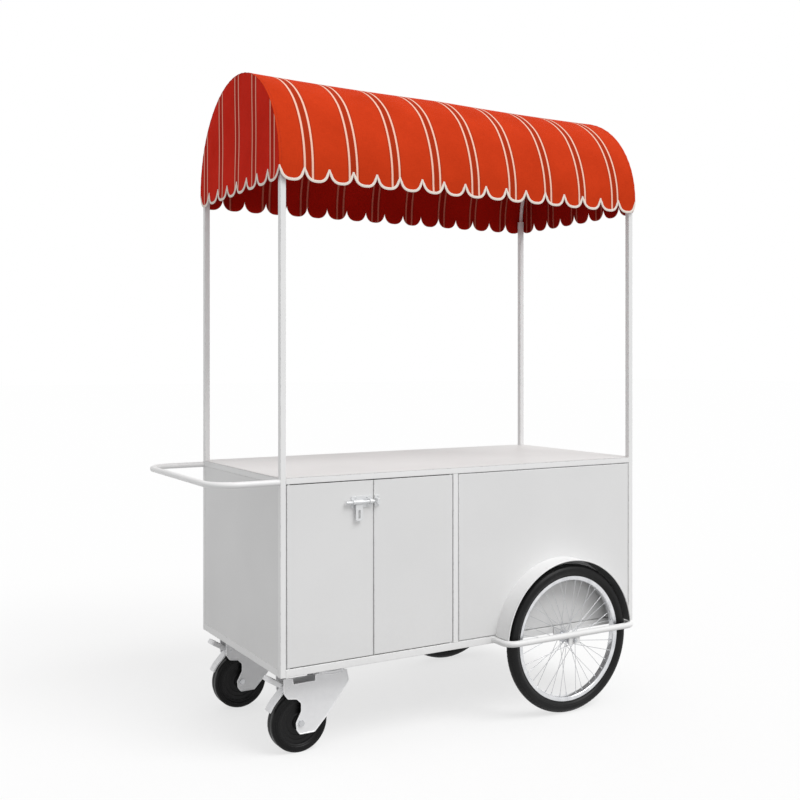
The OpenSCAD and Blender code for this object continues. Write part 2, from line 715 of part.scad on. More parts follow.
module canopy_purlins() color("whitesmoke") translate([mid_x, 0, 0]) {
    for (s = [-1, 1])
        translate([0, s * hoop_r * cos(purlin_angle), eave_z + hoop_r * sin(purlin_angle)])
            bar_x(hoop_d, -purlin_l / 2, purlin_l / 2);
    translate([0, 0, ridge_z]) bar_x(hoop_d, -hoop_x, hoop_x);
}

// Canopy cover: a scalloped valance hangs from its edges
function scallop(u) = scallop_h * sqrt(1 - pow(abs(2 * u - 1), scallop_flat));
module valance(l, count) polygon(concat([[l / 2, 0], [-l / 2, 0]],
    [for (i = [0:count * scallop_steps])
        [l * (i / count / scallop_steps - 1 / 2), -valance_h - scallop(i % scallop_steps / scallop_steps)]]));

module canopy_cover() color("#d0401f") translate([mid_x, 0, eave_z]) {
    rotate([90, 0, 90]) linear_extrude(height = 2 * (cover_x + cover_t), center = true) difference() {
        circle(r = cover_r + cover_t);
        circle(r = cover_r);
        translate([-2 * cover_r, -2 * cover_r]) square([4 * cover_r, 2 * cover_r]);
    }
    for (s = [-1, 1]) translate([0, s * (cover_r + cover_t / 2), 0])
        upright(cover_t) valance(2 * (cover_x + cover_t), scallops_long);
}

module canopy_end(s) color("#a82014") translate([mid_x + s * (cover_x + cover_t / 2), 0, eave_z])
    rotate([90, 0, 90]) linear_extrude(height = cover_t, center = true) {
        difference() {
            circle(r = cover_r);
            translate([-2 * cover_r, -2 * cover_r]) square([4 * cover_r, 2 * cover_r]);
        }
        valance(2 * cover_r, scallops_end);
    }

posts();
base_rails();
base_end_rails();
caster_cross_rails();
counter_rails();
counter_end_rails();
door_stile();
floor_panel();
counter_top();
end_panels();
back_panel();
front_panel();
push_handle();
wheel_guard("front");  // wheel_guard_front
wheel_guard("back");  // wheel_guard_back
fender("front");  // fender_front
fender("back");  // fender_back
axle_brackets();
wheel_axles();
axle_nuts();
tyre("front");  // tyre_front
rim("front");  // rim_front
spokes("front");  // spokes_front
hub("front");  // hub_front
hub_bearings("front");  // hub_bearings_front
tyre("back");  // tyre_back
rim("back");  // rim_back
spokes("back");  // spokes_back
hub("back");  // hub_back
hub_bearings("back");  // hub_bearings_back
caster_plates();
caster_bolts();
caster_kingpins();
caster_fork("front");  // caster_fork_front
caster_axle("front");  // caster_axle_front
pedal_pin("front");  // pedal_pin_front
caster_tread("front");  // caster_tread_front
caster_core("front");  // caster_core_front
brake_pedal("front");  // brake_pedal_front
caster_fork("back");  // caster_fork_back
caster_axle("back");  // caster_axle_back
pedal_pin("back");  // pedal_pin_back
caster_tread("back");  // caster_tread_back
caster_core("back");  // caster_core_back
brake_pedal("back");  // brake_pedal_back
door_left();
door_right();
door_pivot_pins();
bolt_plate();
bolt_rod();
bolt_hasp();
bolt_keeper();
bolt_screws();
keeper_screws();
canopy_hoops();
canopy_purlins();
canopy_cover();
canopy_end(-1);  // canopy_end_left
canopy_end(1);  // canopy_end_right
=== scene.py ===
# Coffee cart: a white steel cabinet on two spoke wheels and two braked casters, under a red barrel canopy.
import json
from math import asin, cos, exp, hypot, pi, radians, sin, sqrt

import bmesh
import bpy
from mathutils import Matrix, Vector


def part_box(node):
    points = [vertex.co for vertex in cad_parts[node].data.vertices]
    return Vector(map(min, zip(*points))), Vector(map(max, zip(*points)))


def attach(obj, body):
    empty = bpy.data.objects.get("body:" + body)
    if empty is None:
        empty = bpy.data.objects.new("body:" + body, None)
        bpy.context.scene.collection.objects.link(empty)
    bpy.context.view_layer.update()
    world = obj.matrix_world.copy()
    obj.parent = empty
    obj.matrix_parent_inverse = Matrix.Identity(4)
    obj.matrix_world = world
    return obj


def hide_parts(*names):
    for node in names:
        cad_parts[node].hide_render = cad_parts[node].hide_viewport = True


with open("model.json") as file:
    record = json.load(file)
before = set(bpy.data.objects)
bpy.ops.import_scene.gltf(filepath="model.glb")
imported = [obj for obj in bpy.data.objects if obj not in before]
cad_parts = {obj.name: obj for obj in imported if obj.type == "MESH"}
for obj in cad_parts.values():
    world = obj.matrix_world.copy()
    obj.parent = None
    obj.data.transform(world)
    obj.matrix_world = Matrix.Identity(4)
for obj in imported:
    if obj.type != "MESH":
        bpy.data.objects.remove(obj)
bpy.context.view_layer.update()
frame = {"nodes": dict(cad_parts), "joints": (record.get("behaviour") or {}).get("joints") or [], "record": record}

# Frame: posts and rails of 20 mm square steel tube, mitred and welded, then powder coated white in one go.
# The tube is rolled, so its long corners are round, and the coat is thin and rubbed along them.
cart = frame["nodes"]
body_of = {node: body for body, held in frame["record"]["behaviour"]["bodies"].items() for node in held}
tube_corner, tube_run = 0.002, 0.08
dust_full, dust_none = 0.22, 0.6
flat_turn, bend_turn, arris_turn, corner_steps = radians(0.5), 0.2, 0.6, 5
speck = 1e-5


def colour(red, green, blue):
    """A colour as a screen shows it, 0 to 255, as a socket takes it."""
    return tuple(((c / 255 + 0.055) / 1.055) ** 2.4 if c > 10 else c / 3294.6 for c in (red, green, blue)) + (1.0,)


def add(tree, kind, values=None, **settings):
    """A node with its settings, its inputs set to a value or joined to another node's output."""
    node = tree.nodes.new(kind)
    for name, setting in settings.items():
        setattr(node, name, setting)
    for name, value in (values or {}).items():
        if isinstance(value, bpy.types.NodeSocket):
            tree.links.new(value, node.inputs[name])
        else:
            node.inputs[name].default_value = value
    return node


def joined(kind, values, output=0, **settings):
    """An output of such a node, in the tree that its inputs come from."""
    tree = next(value.id_data for value in values.values() if isinstance(value, bpy.types.NodeSocket))
    return add(tree, kind, values, **settings).outputs[output]


def reckon(operation, first, second=0.0):
    """One sum on two values."""
    return joined("ShaderNodeMath", {0: first, 1: second}, operation=operation)


def times(first, second):
    """One value times another."""
    return reckon("MULTIPLY", first, second)


def spread(value, low, high, to_low=0.0, to_high=1.0):
    """A value that runs from one number to another while what it reads runs from low to high."""
    return joined("ShaderNodeMapRange", {
        "Value": value, "From Min": low, "From Max": high, "To Min": to_low, "To Max": to_high})


def over(share, under, top, blend="MIX"):
    """One colour laid over another, by a share."""
    return joined("ShaderNodeMix", {0: share, 6: under, 7: top}, 2, data_type="RGBA", blend_type=blend)


def noise(where, scale, detail=2.0, rough=0.5):
    """A cloudy value at a scale, in lumps to the metre."""
    return joined("ShaderNodeTexNoise", {"Vector": where, "Scale": scale, "Detail": detail, "Roughness": rough})


def spot(tree):
    """The place on the cart, in metres."""
    return add(tree, "ShaderNodeTexCoord").outputs["Object"]


def arris(tree):
    """A mask of the arrises that were rounded."""
    return add(tree, "ShaderNodeAttribute", attribute_name="arris").outputs["Fac"]


def new_tree(name, kind, inputs, outputs):
    """An empty node tree, what its named inputs give, and its output node."""
    tree = bpy.data.node_groups.new(name, kind + "NodeTree")
    for way, sockets in (("OUTPUT", outputs), ("INPUT", inputs)):
        for label, socket in sockets.items():
            tree.interface.new_socket(label, in_out=way, socket_type="NodeSocket" + socket)
    return tree, tree.nodes.new("NodeGroupInput").outputs, tree.nodes.new("NodeGroupOutput")


def effect(name, inputs):
    """An empty shader group that gives a colour, a roughness and a height."""
    return new_tree(name, "Shader", inputs, {"Color": "Color", "Roughness": "Float", "Height": "Float"})


def give(end, **results):
    """Joins a tree's results to its output node, and gives the tree."""
    for label, socket in results.items():
        end.id_data.links.new(socket, end.inputs[label])
    return end.id_data


def finish(name, group, values, relief, plain):
    """A material from a group: relief is the bump's strength and depth, plain is set on the shader itself."""
    material = bpy.data.materials.new(name)
    material.use_nodes = True
    tree = material.node_tree
    shader = tree.nodes["Principled BSDF"]
    made = add(tree, "ShaderNodeGroup", values, node_tree=group).outputs
    bump = joined("ShaderNodeBump", {"Height": made["Height"], "Strength": relief[0], "Distance": relief[1]})
    for socket, label in ((made["Color"], "Base Color"), (made["Roughness"], "Roughness"), (bump, "Normal")):
        tree.links.new(socket, shader.inputs[label])
    for label, value in plain.items():
        shader.inputs[label].default_value = value
    return material


primer, road_dust = colour(168, 169, 170), colour(176, 170, 160)


def powder_coat():
    """Orange peel, slow clouds in the white, road dust low down, and primer where an arris is rubbed."""
    tree, given, end = effect("powder_coat", {"Color": "Color", "Dust": "Float", "Wear": "Float"})
    where = spot(tree)
    cloud = noise(where, 3.0, 3.0)
    fleck = noise(where, 85.0, 5.0, 0.7)
    low = spread(joined("ShaderNodeSeparateXYZ", {0: where}, "Z"), dust_full, dust_none, 1.0, 0.0)
    dust = times(times(low, given["Dust"]), spread(fleck, 0.3, 0.75))
    arris_tint = times(times(arris(tree), given["Wear"]), spread(fleck, 0.52, 0.6))
    white = over(spread(cloud, 0.35, 0.7, 0.0, 0.12), given["Color"], colour(222, 222, 222), "MULTIPLY")
    white = over(arris_tint, over(dust, white, road_dust), primer)
    rough = reckon("ADD", spread(cloud, 0.3, 0.7, 0.34, 0.44), times(dust, 0.3))
    return give(end, Color=white, Roughness=rough, Height=noise(where, 480.0, 1.0))


coat = powder_coat()


def painted(name, tone, dust, wear, peel=0.12, gloss=0.45):
    """A powder coat of a tone, with its dust, its wear, its orange peel and its gloss."""
    return finish(name, coat, {"Color": colour(*tone), "Dust": dust, "Wear": wear}, (peel, 0.0006),
                  {"Specular IOR Level": gloss})


white_coat = painted("white_powder_coat", (240, 240, 240), 0.1, 0.3)


def settled(piece):
    """The piece with what its modifiers make as its plain mesh."""
    graph = bpy.context.evaluated_depsgraph_get()
    made = piece.evaluated_get(graph)
    mesh = bpy.data.meshes.new_from_object(made, preserve_all_data_layers=True, depsgraph=graph)
    piece.modifiers.clear()
    piece.data = mesh
    return piece


def placed(name, held):
    """An object in the scene for a mesh, a lamp or a lens."""
    piece = bpy.data.objects.new(name, held)
    bpy.context.collection.objects.link(piece)
    return piece


def made_of(name, shape, sharp):
    """An object from a filled bmesh, smooth but for the arrises past an angle in degrees."""
    for face in shape.faces:
        face.smooth = True
    mesh = bpy.data.meshes.new(name)
    shape.to_mesh(mesh)
    shape.free()
    mesh.set_sharp_from_angle(angle=radians(sharp))
    return placed(name, mesh)


def across_y(edge):
    """How far an edge runs across the cart."""
    return abs(edge.verts[0].co.y - edge.verts[1].co.y)


def rounded(shape, edges, radius, steps):
    """Rounds some arrises of a bmesh, and gives the new faces."""
    return bmesh.ops.bevel(shape, geom=edges, offset=radius, offset_type="OFFSET", segments=steps, profile=0.5,
                           affect="EDGES", clamp_overlap=True)["faces"]


def rolled(node, radius, keep, steps=2, corner=0.0, plate=0.0):
    """A copy of a solid with its outer arrises rounded where keep says so, and marked for wear on a coat and a
    painted highlight on zinc. A corner radius first rounds the outline of plates of a thickness that stand across
    Y."""
    shape = bmesh.new()
    shape.from_mesh(cart[node].data)
    mark = shape.faces.layers.float.new("arris")
    bmesh.ops.remove_doubles(shape, verts=shape.verts, dist=speck)
    bmesh.ops.dissolve_limit(shape, angle_limit=flat_turn, verts=shape.verts, edges=shape.edges)
    if corner:
        outline = [edge for edge in shape.edges if across_y(edge) > plate - speck
                   and edge.calc_length() < plate + speck and edge.calc_face_angle(0.0) > bend_turn]
        rounded(shape, outline, corner, corner_steps)
    outer = [edge for edge in shape.edges
             if len(edge.link_faces) == 2 and edge.calc_face_angle_signed() > arris_turn and keep(edge)]
    for face in rounded(shape, outer, radius, steps):
        face[mark] = 1.0
    bmesh.ops.remove_doubles(shape, verts=shape.verts, dist=3 * speck)
    bmesh.ops.dissolve_degenerate(shape, edges=shape.edges, dist=speck)
    piece = made_of(node + "_rolled", shape, 16 if corner else 50)
    if not corner:
        piece.modifiers.new("even", "WEIGHTED_NORMAL").keep_sharp = True
    return settled(piece)


def stand_in(piece, material, *replaced):
    """The piece gets its finish, if it has none, and rides and shows in the place of one body's nodes."""
    if material:
        piece.data.materials.clear()
        piece.data.materials.append(material)
    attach(piece, body_of[replaced[0]])
    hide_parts(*replaced)


for node in ("posts", "base_rails", "base_end_rails", "caster_cross_rails", "counter_rails", "counter_end_rails",
             "door_stile"):
    stand_in(rolled(node, tube_corner, lambda edge: edge.calc_length() > tube_run), white_coat, node)

# Sheets: a counter top on the rails, end and back panels between the posts, a floor, and a fixed front panel
# that is folded to a shallow pan. All are steel sheet, 1.5 to 2 mm, coated like the frame.
panel_coat = painted("panel_powder_coat", (230, 230, 230), 0.08, 0.2)
counter_coat = painted("counter_powder_coat", (223, 221, 220), 0.0, 0.3, 0.1, 0.5)
counter_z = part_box("counter_top")[1].z
panel_low, panel_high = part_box("front_panel")
counter_arris, counter_run = 0.0009, 0.1
fold_r, fold_steps = 0.0035, 4
on_face = 1e-4
filler_section = [
    (-0.0004, 0.007), (-0.0004, 0.0030), (0.0008, 0.0022), (0.0022, 0.0018), (0.0034, 0.0016), (0.0034, 0.007)]


def dress(material, *names):
    """A solid whose shape is right keeps it and gets its finish."""
    for name in names:
        cart[name].material_slots[0].material = material


def fix(piece, body):
    """A piece with no solid of its own rides on a body."""
    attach(piece, body)


def round_counter(edge):
    """Whether an arris is one of the four round the counter's face."""
    return edge.calc_length() > counter_run and all(end.co.z > counter_z - on_face for end in edge.verts)


def in_front(edge):
    """Whether an arris lies in the front face of the fixed panel and the doors."""
    return all(end.co.y < panel_low.y + on_face for end in edge.verts)


def skinned(shape, rings, closed=False):
    """Faces from each ring of points to the next, and from the last to the first, or else over both of these."""
    rings = [[shape.verts.new(point) for point in ring] for ring in rings]
    for ring, after in zip(rings, rings[1:] + (rings[:1] if closed else [])):
        for n in range(len(ring)):
            shape.faces.new((ring[n - 1], ring[n], after[n], after[n - 1]))
    caps = [] if closed else [shape.faces.new(ring) for ring in (rings[0], rings[-1])]
    bmesh.ops.recalc_face_normals(shape, faces=shape.faces)
    return caps


def solid(name, build, sharp=40):
    """An object that a function fills a bmesh with."""
    shape = bmesh.new()
    build(shape)
    return made_of(name, shape, sharp)


def seam_filler(shape):
    """A bead of filler round the fixed panel: its section has distances out from the panel and back."""
    corners = [(panel_low.x, panel_low.z, -1, -1), (panel_high.x, panel_low.z, 1, -1),
               (panel_high.x, panel_high.z, 1, 1), (panel_low.x, panel_high.z, -1, 1)]
    skinned(shape, [[(x + i * off, panel_low.y + back, z + k * off) for off, back in filler_section]
                    for x, z, i, k in corners], True)


stand_in(rolled("counter_top", counter_arris, round_counter), counter_coat, "counter_top")
stand_in(rolled("front_panel", fold_r, in_front, fold_steps), panel_coat, "front_panel")
dress(panel_coat, "end_panels", "back_panel")
dress(counter_coat, "floor_panel")
filler = solid("front_panel_seam", seam_filler, 0)
filler.data.materials.append(white_coat)
fix(filler, "frame")

# Push handle: one length of round tube bent to a U and welded to the two left posts, then coated with them.
# A ring of small overlapping weld beads shows where each leg meets its post.
weld_r, weld_form = 0.0017, (0.75, 0.8, 1.15)
weld_proud, weld_sunk, weld_start = 0.0003, 0.0006, 0.1
handle_beads = 26
dress(white_coat, "push_handle")


def made_by(name, tree, values, base):
    """A piece that a geometry tree makes on a base mesh from these sizes, as plain mesh."""
    piece = placed(name, base)
    step = piece.modifiers.new("make", "NODES")
    step.node_group = tree
    socket = {item.name: item.identifier for item in tree.interface.items_tree if item.in_out == "INPUT"}
    for label, value in values.items():
        step[socket[label]] = value
    return settled(piece)


def laid_out(name, places, edges=(), **marks):
    """A base mesh: points, the edges between them, and a number or a vector at each point under each name."""
    mesh = bpy.data.meshes.new(name)
    mesh.from_pydata([tuple(place) for place in places], list(edges), [])
    for label, values in marks.items():
        if isinstance(values[0], float):
            mesh.attributes.new(label, "FLOAT", "POINT").data.foreach_set("value", values)
        else:
            parts = [part for vector in values for part in vector]
            mesh.attributes.new(label, "FLOAT_VECTOR", "POINT").data.foreach_set("vector", parts)
    return mesh


def geometry(name, inputs):
    """An empty geometry tree with its named inputs."""
    return new_tree(name, "Geometry", {"Geometry": "Geometry", **inputs}, {"Geometry": "Geometry"})


def shape_of(item):
    """The shape of an object that a tree is given."""
    return joined("GeometryNodeObjectInfo", {"Object": item}, "Geometry")


def set_on(points, item, turn, size=(1.0, 1.0, 1.0)):
    """A shape on every point, turned and sized."""
    return joined("GeometryNodeInstanceOnPoints", {
        "Points": points, "Instance": item, "Rotation": turn, "Scale": size})


def close_tree(end, shape, material, chosen=True):
    """Ends a geometry tree: what it set out becomes plain mesh, and the chosen faces get their finish."""
    real = joined("GeometryNodeRealizeInstances", {"Geometry": shape})
    return give(end, Geometry=joined("GeometryNodeSetMaterial", {
        "Geometry": real, "Selection": chosen, "Material": material}))


def round_an_axle():
    """Sets an item out in a ring round each point: the item is drawn with +X as outwards and Y along the axle."""
    tree, given, end = geometry("round_an_axle", {
        "Item": "Object", "Count": "Int", "Radius": "Float", "Start": "Float", "Turn": "Rotation",
        "Material": "Material"})
    step = reckon("DIVIDE", 2 * pi, given["Count"])
    angle = reckon("ADD", times(add(tree, "GeometryNodeInputIndex").outputs[0], step), given["Start"])
    place = joined("ShaderNodeCombineXYZ", {
        "X": times(reckon("COSINE", angle), given["Radius"]), "Z": times(reckon("SINE", angle), given["Radius"])})
    points = joined("GeometryNodePoints", {"Count": given["Count"], "Position": place})
    lean = joined("ShaderNodeCombineXYZ", {"Y": times(angle, -1.0)})
    ring = set_on(points, shape_of(given["Item"]), joined("FunctionNodeEulerToRotation", {0: lean}))
    return close_tree(end, set_on(given["Geometry"], ring, given["Turn"]), given["Material"])


def bead(shape):
    """One bead of weld."""
    bmesh.ops.create_icosphere(shape, subdivisions=1, radius=weld_r)
    bmesh.ops.scale(shape, vec=weld_form, verts=shape.verts)


ring_of = round_an_axle()
weld_bead = solid("weld_bead", bead)


def welded(name, centres, leg_r, count, turn):
    """Rings of weld round the ends of a tube, as one piece of the frame."""
    sizes = {"Item": weld_bead, "Count": count, "Radius": leg_r + weld_proud, "Start": weld_start}
    welds = made_by(name, ring_of, {**sizes, "Turn": turn, "Material": white_coat}, laid_out(name, centres))
    fix(welds, "frame")


handle_low, handle_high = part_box("push_handle")
handle_r = (handle_high.z - handle_low.z) / 2
handle_ends = [(handle_high.x - weld_sunk, y, handle_low.z + handle_r)
               for y in (handle_low.y + handle_r, handle_high.y - handle_r)]
welded("handle_welds", handle_ends, handle_r, handle_beads, (0.0, 0.0, pi / 2))

# Doors: two trays of folded sheet that fill the doorway, with a 3 mm shadow gap all round. Each turns on two
# plain steel pins in its hinge edge, hidden in the fold.
for node in ("door_left", "door_right"):
    stand_in(rolled(node, fold_r, in_front, fold_steps), panel_coat, node)


def plated():
    """Bright zinc plate: soft grain along the sheet, cloudy spangle, a little dulling, and a painted highlight on
    arrises.
    """
    tree, given, end = effect("zinc_plate", {"Color": "Color", "Dull": "Float", "Grain": "Float"})
    where = spot(tree)
    grain = noise(joined("ShaderNodeMapping", {"Vector": where, "Scale": (0.12, 1.0, 1.0)}), 900.0)
    cloud = noise(where, 38.0, 4.0, 0.6)
    tone = reckon("ADD", times(grain, given["Grain"]), times(cloud, 0.5))
    grey = over(spread(tone, 0.2, 0.7, 0.0, 0.3), given["Color"], colour(205, 207, 210), "MULTIPLY")
    # Rounded arrises are lightened in clouds: a painted highlight.
    arris_tint = times(arris(tree), spread(cloud, 0.2, 0.5, 0.6, 1.0))
    rough = reckon("ADD", given["Dull"], spread(tone, 0.2, 0.6, -0.04, 0.08))
    return give(end, Color=over(arris_tint, grey, colour(250, 250, 250)), Roughness=rough, Height=grain)


zinc = plated()


def grained(name, tone, dull, grain, metal, relief=(0.1, 0.0003)):
    """A plated or spun finish of a tone, with its dulling, its grain and how far it is metal."""
    return finish(name, zinc, {"Color": colour(*tone), "Dull": dull, "Grain": grain}, relief, {"Metallic": metal})


latch_steel = grained("latch_steel", (228, 229, 230), 0.4, 0.4, 0.35)
dress(latch_steel, "door_pivot_pins")

# Bolt: a plate with two guides on the left door, a round rod that slides in them, a slotted hasp that hangs on
# the rod, and a keeper strap on the right door. Zinc plated steel, held by cross-recess screws.
latch_run = 0.004
head_r, head_tall, head_steps = 0.0035, 0.0019, 32
head_rings = (0.0004, 0.0008, 0.0012, 0.0016, 0.002, 0.0024, 0.0029, 0.0033, head_r)
cross_reach, cross_half, cross_deep = 0.0022, 0.00042, 0.001
stop_by_x, stop_by_z = 6300, 50
for node, arris_r in (("bolt_plate", 0.0006), ("bolt_keeper", 0.0005), ("bolt_hasp", 0.0004)):
    stand_in(rolled(node, arris_r, lambda edge: edge.calc_length() > latch_run), latch_steel, node)
dress(latch_steel, "bolt_rod")


def named(tree, label, kind="FLOAT_VECTOR"):
    """What a base mesh has at its points under a name."""
    return add(tree, "GeometryNodeInputNamedAttribute", {"Name": label}, data_type=kind).outputs[0]


def aligned(axis, way, start=(0.0, 0.0, 0.0), **settings):
    """A turn that brings an axis to a way, from a turn to start with."""
    return joined("FunctionNodeAlignRotationToVector", {"Rotation": start, "Vector": way}, axis=axis, **settings)


def on_marks():
    """Sets an item on every marked point, its Z along the mark's aim and its X along the mark's run."""
    tree, given, end = geometry("on_marks", {"Item": "Object", "Material": "Material"})
    turn = aligned("X", named(tree, "run"), aligned("Z", named(tree, "aim")), pivot_axis="Z")
    return close_tree(end, set_on(given["Geometry"], shape_of(given["Item"]), turn), given["Material"])


set_out = on_marks()


def on_places(name, item, material, rows):
    """A piece of like items: each row has a place, the way the item stands there, and the way it runs."""
    places, aim, run = zip(*rows)
    return made_by(name, set_out, {"Item": item, "Material": material}, laid_out(name, places, aim=aim, run=run))


def screw_point(r, angle):
    """A place on a screw's domed head, with the cross that is pressed into it."""
    x, y = r * cos(angle), r * sin(angle)
    pressed = cross_deep if r < cross_reach and min(abs(x), abs(y)) < cross_half else 0.0
    return x, y, head_tall * sqrt(max(0.0, 1 - (r / head_r) ** 3)) - pressed


def screw_head(shape):
    """A domed head, 7 mm, drawn from its middle outwards."""
    rings = [[screw_point(r, 2 * pi * n / head_steps) for n in range(head_steps)] for r in head_rings]
    bmesh.ops.poke(shape, faces=skinned(shape, rings)[:1])


head = solid("screw_head", screw_head)
for node in ("bolt_screws", "keeper_screws"):
    low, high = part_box(node)
    across = sorted({round(low.x + head_r, 5), round(high.x - head_r, 5)})
    screws = [((x, high.y, z), (0, -1, 0), (cos(stop_by_x * x), 0, sin(stop_by_x * x + stop_by_z * z)))
              for x in across for z in (low.z + head_r, high.z - head_r)]
    stand_in(on_places(node + "_crossed", head, latch_steel, screws), latch_steel, node)
bpy.data.objects.remove(head)

# Spoke wheels: a 22 inch tyre on an alloy rim, 36 crossed spokes screwed into nipples, and a turned hub on ball
# bearings. The tyre has a ribbed crown and rows of shoulder lugs. Sections are in mm, as radius and offset.
wheel_low, wheel_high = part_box("tyre_front")
axle = (wheel_low + wheel_high) / 2
ends = (("front", 1), ("back", -1))
black = colour(11, 11, 12)
tyre_mid, tyre_round, tyre_steps, tyre_step = 250.0, 22.0, 54, 2.5
groove_at, groove_deep = (10.0, 25.0), 1.3
ridge_at, ridge_high = (70.0, 102.5), 0.45
shoulder_from, shoulder_to, shoulder_deep = 27, 50, 0.8
beads = [(225.0, -11.2), (229.2, -14.6)]
rim_seat = 213.3
rim_half = [
    (rim_seat - 0.1, 8.5), (213.9, 11.6), (215.6, 13.8), (218.4, 14.7), (227.6, 15.0), (228.8, 14.6),
    (228.9, 12.6), (227.8, 12.0), (218.2, 12.0), (216.4, 9.5)]
lug_count, lug_reach, lug_at, lug_foot, lug_lean, lug_stagger = 96, 17.0, 38, 21.2, 2.6, 0.6
lug_plan = ((-3.4, -1.7), (3.4, -2.9), (3.4, 0.7), (-3.4, 1.9))
lug_levels = ((-1.0, 1.0), (0.9, 0.86))
nipple_outline = [(2.4, -1.0), (2.4, 0.6), (1.9, 1.2), (1.8, 7.5), (1.3, 9.5)]
valve_outline = [
    (5.2, -1.0), (5.2, 1.5), (4.2, 3.5), (3.6, 16.0), (3.2, 17.0), (4.0, 17.3), (4.0, 24.0), (3.2, 25.2)]
valve_at = radians(178)
spoke_count, spoke_lead = 36, radians(60)
spoke_out, spoke_stagger = 218.0, 3.0
hub_hole, hub_flange, hub_half = 18.48, 21.5, 2.5


def rubber_skin():
    """Rubber: fine pores, and a grey bloom in clouds."""
    tree, given, end = effect("rubber_skin", {"Color": "Color", "Bloom": "Float"})
    where = spot(tree)
    cloud = noise(where, 22.0, 4.0, 0.6)
    bloom = times(spread(cloud, 0.42, 0.72), given["Bloom"])
    return give(end, Color=over(bloom, given["Color"], colour(84, 83, 80)),
                Roughness=spread(cloud, 0.3, 0.7, 0.36, 0.48), Height=noise(where, 700.0))


skin = rubber_skin()


def rubbery(name, tone, bloom, relief, gloss):
    """A rubber or a moulded finish of a tone, with its bloom, its pores and its gloss."""
    return finish(name, skin, {"Color": tone, "Bloom": bloom}, relief, {"Specular IOR Level": gloss})


def lathe_marks():
    """Turned metal: fine rings round the axle, read from the distance to it."""
    tree, given, end = effect("lathe_marks", {"Color": "Color", "Dull": "Float", "Middle": "Vector"})
    where = spot(tree)
    flat = joined("ShaderNodeVectorMath", {0: where, 1: given["Middle"]}, operation="SUBTRACT")
    flat = joined("ShaderNodeVectorMath", {0: flat, 1: (1.0, 0.0, 1.0)}, operation="MULTIPLY")
    reach = joined("ShaderNodeVectorMath", {0: flat}, "Value", operation="LENGTH")
    rings = joined("ShaderNodeTexNoise", {"W": times(reach, 1400.0), "Detail": 2.0}, noise_dimensions="1D")
    clouded = spread(noise(where, 30.0, 3.0), 0.35, 0.75, 0.0, 0.6)
    rough = reckon("ADD", given["Dull"], spread(rings, 0.3, 0.7, -0.05, 0.08))
    return give(end, Color=over(clouded, given["Color"], colour(205, 206, 209), "MULTIPLY"), Roughness=rough,
                Height=rings)


turned_metal = lathe_marks()


def alloy(name, tone, dull):
    """A finish of turned alloy."""
    return finish(name, turned_metal, {"Color": colour(*tone), "Dull": dull, "Middle": tuple(axle)},
                  (0.06, 0.0002), {"Metallic": 1.0})


tyre_rubber = rubbery("tyre_rubber", black, 0.06, (0.15, 0.0004), 0.22)
rim_alloy = alloy("rim_alloy", (229, 230, 232), 0.2)
hub_alloy = alloy("hub_alloy", (216, 217, 220), 0.26)
spoke_steel = grained("spoke_steel", (205, 206, 208), 0.38, 0.2, 1.0, (0.05, 0.0002))
fastener_steel = grained("fastener_steel", (203, 204, 206), 0.36, 0.3, 1.0)


def stored(shape, label, value, **settings):
    """A shape that has a value under a name."""
    return joined("GeometryNodeStoreNamedAttribute", {
        "Geometry": shape, "Name": label, "Value": value}, **settings)


def section_on_path():
    """Carries a closed section along a path, its X the way that each point of the path says, and maps both in
    metres. The marked stretch of the section takes the second finish, a dark one that paints shade."""
    tree, given, end = geometry("section_on_path", {
        "Section": "Object", "Material": "Material", "Painted_Shade": "Material"})
    length = add(tree, "GeometryNodeSplineParameter").outputs["Length"]
    line, profile = (stored(joined("GeometryNodeMeshToCurve", {"Mesh": edges}), label, length)
                     for edges, label in ((given["Geometry"], "along"), (shape_of(given["Section"]), "across")))
    stood = joined("GeometryNodeSetCurveNormal", {"Curve": line, "Normal": named(tree, "aim")}, mode="FREE")
    body = joined("GeometryNodeCurveToMesh", {
        "Curve": stood, "Profile Curve": profile, "Scale": named(tree, "size", "FLOAT"), "Fill Caps": True})
    flat = joined("ShaderNodeCombineXYZ", {
        "X": named(tree, "along", "FLOAT"), "Y": named(tree, "across", "FLOAT")})
    mapped = stored(body, "cut", flat, data_type="FLOAT2", domain="CORNER")
    smooth = joined("GeometryNodeSetShadeSmooth", {"Geometry": mapped})
    faced = joined("GeometryNodeSetMaterial", {"Geometry": smooth, "Material": given["Material"]})
    return close_tree(end, faced, given["Painted_Shade"], named(tree, "lined", "BOOLEAN"))


carry = section_on_path()


def path(name, rows, edges):
    """A path of edges: each row has a place, the way a section's X stands there, and the section's size."""
    places, aim, size = zip(*rows)
    return laid_out(name, places, edges, aim=aim, size=size)


def strung(name, lines, closed=False):
    """A path of lines of such rows, each joined in its own order."""
    rows, edges = [], []
    for line in lines:
        first, last = len(rows), len(rows) + len(line) - 1
        edges += [(n, n + 1) for n in range(first, last)] + ([(last, first)] if closed else [])
        rows += line
    return path(name, rows, edges)


def carried(name, along, loop, finishes, lined=0, sharp=40):
    """A piece made by carrying a closed loop of points, in metres, along a path: its first points may take painted
    shade.
    """
    count = len(loop)
    outline = laid_out("section", [(x, y, 0.0) for x, y in loop], [(n, (n + 1) % count) for n in range(count)])
    shade_paint_mask = outline.attributes.new("lined", "BOOLEAN", "POINT")
    shade_paint_mask.data.foreach_set("value", [n < lined for n in range(count)])
    section = placed("section", outline)
    piece = made_by(name, carry, {"Section": section, "Material": finishes[0], "Painted_Shade": finishes[-1]}, along)
    bpy.data.objects.remove(section)
    shape = bmesh.new()
    shape.from_mesh(piece.data)
    bmesh.ops.recalc_face_normals(shape, faces=shape.faces)
    shape.to_mesh(piece.data)
    shape.free()
    piece.data.set_sharp_from_angle(angle=radians(sharp))
    return piece


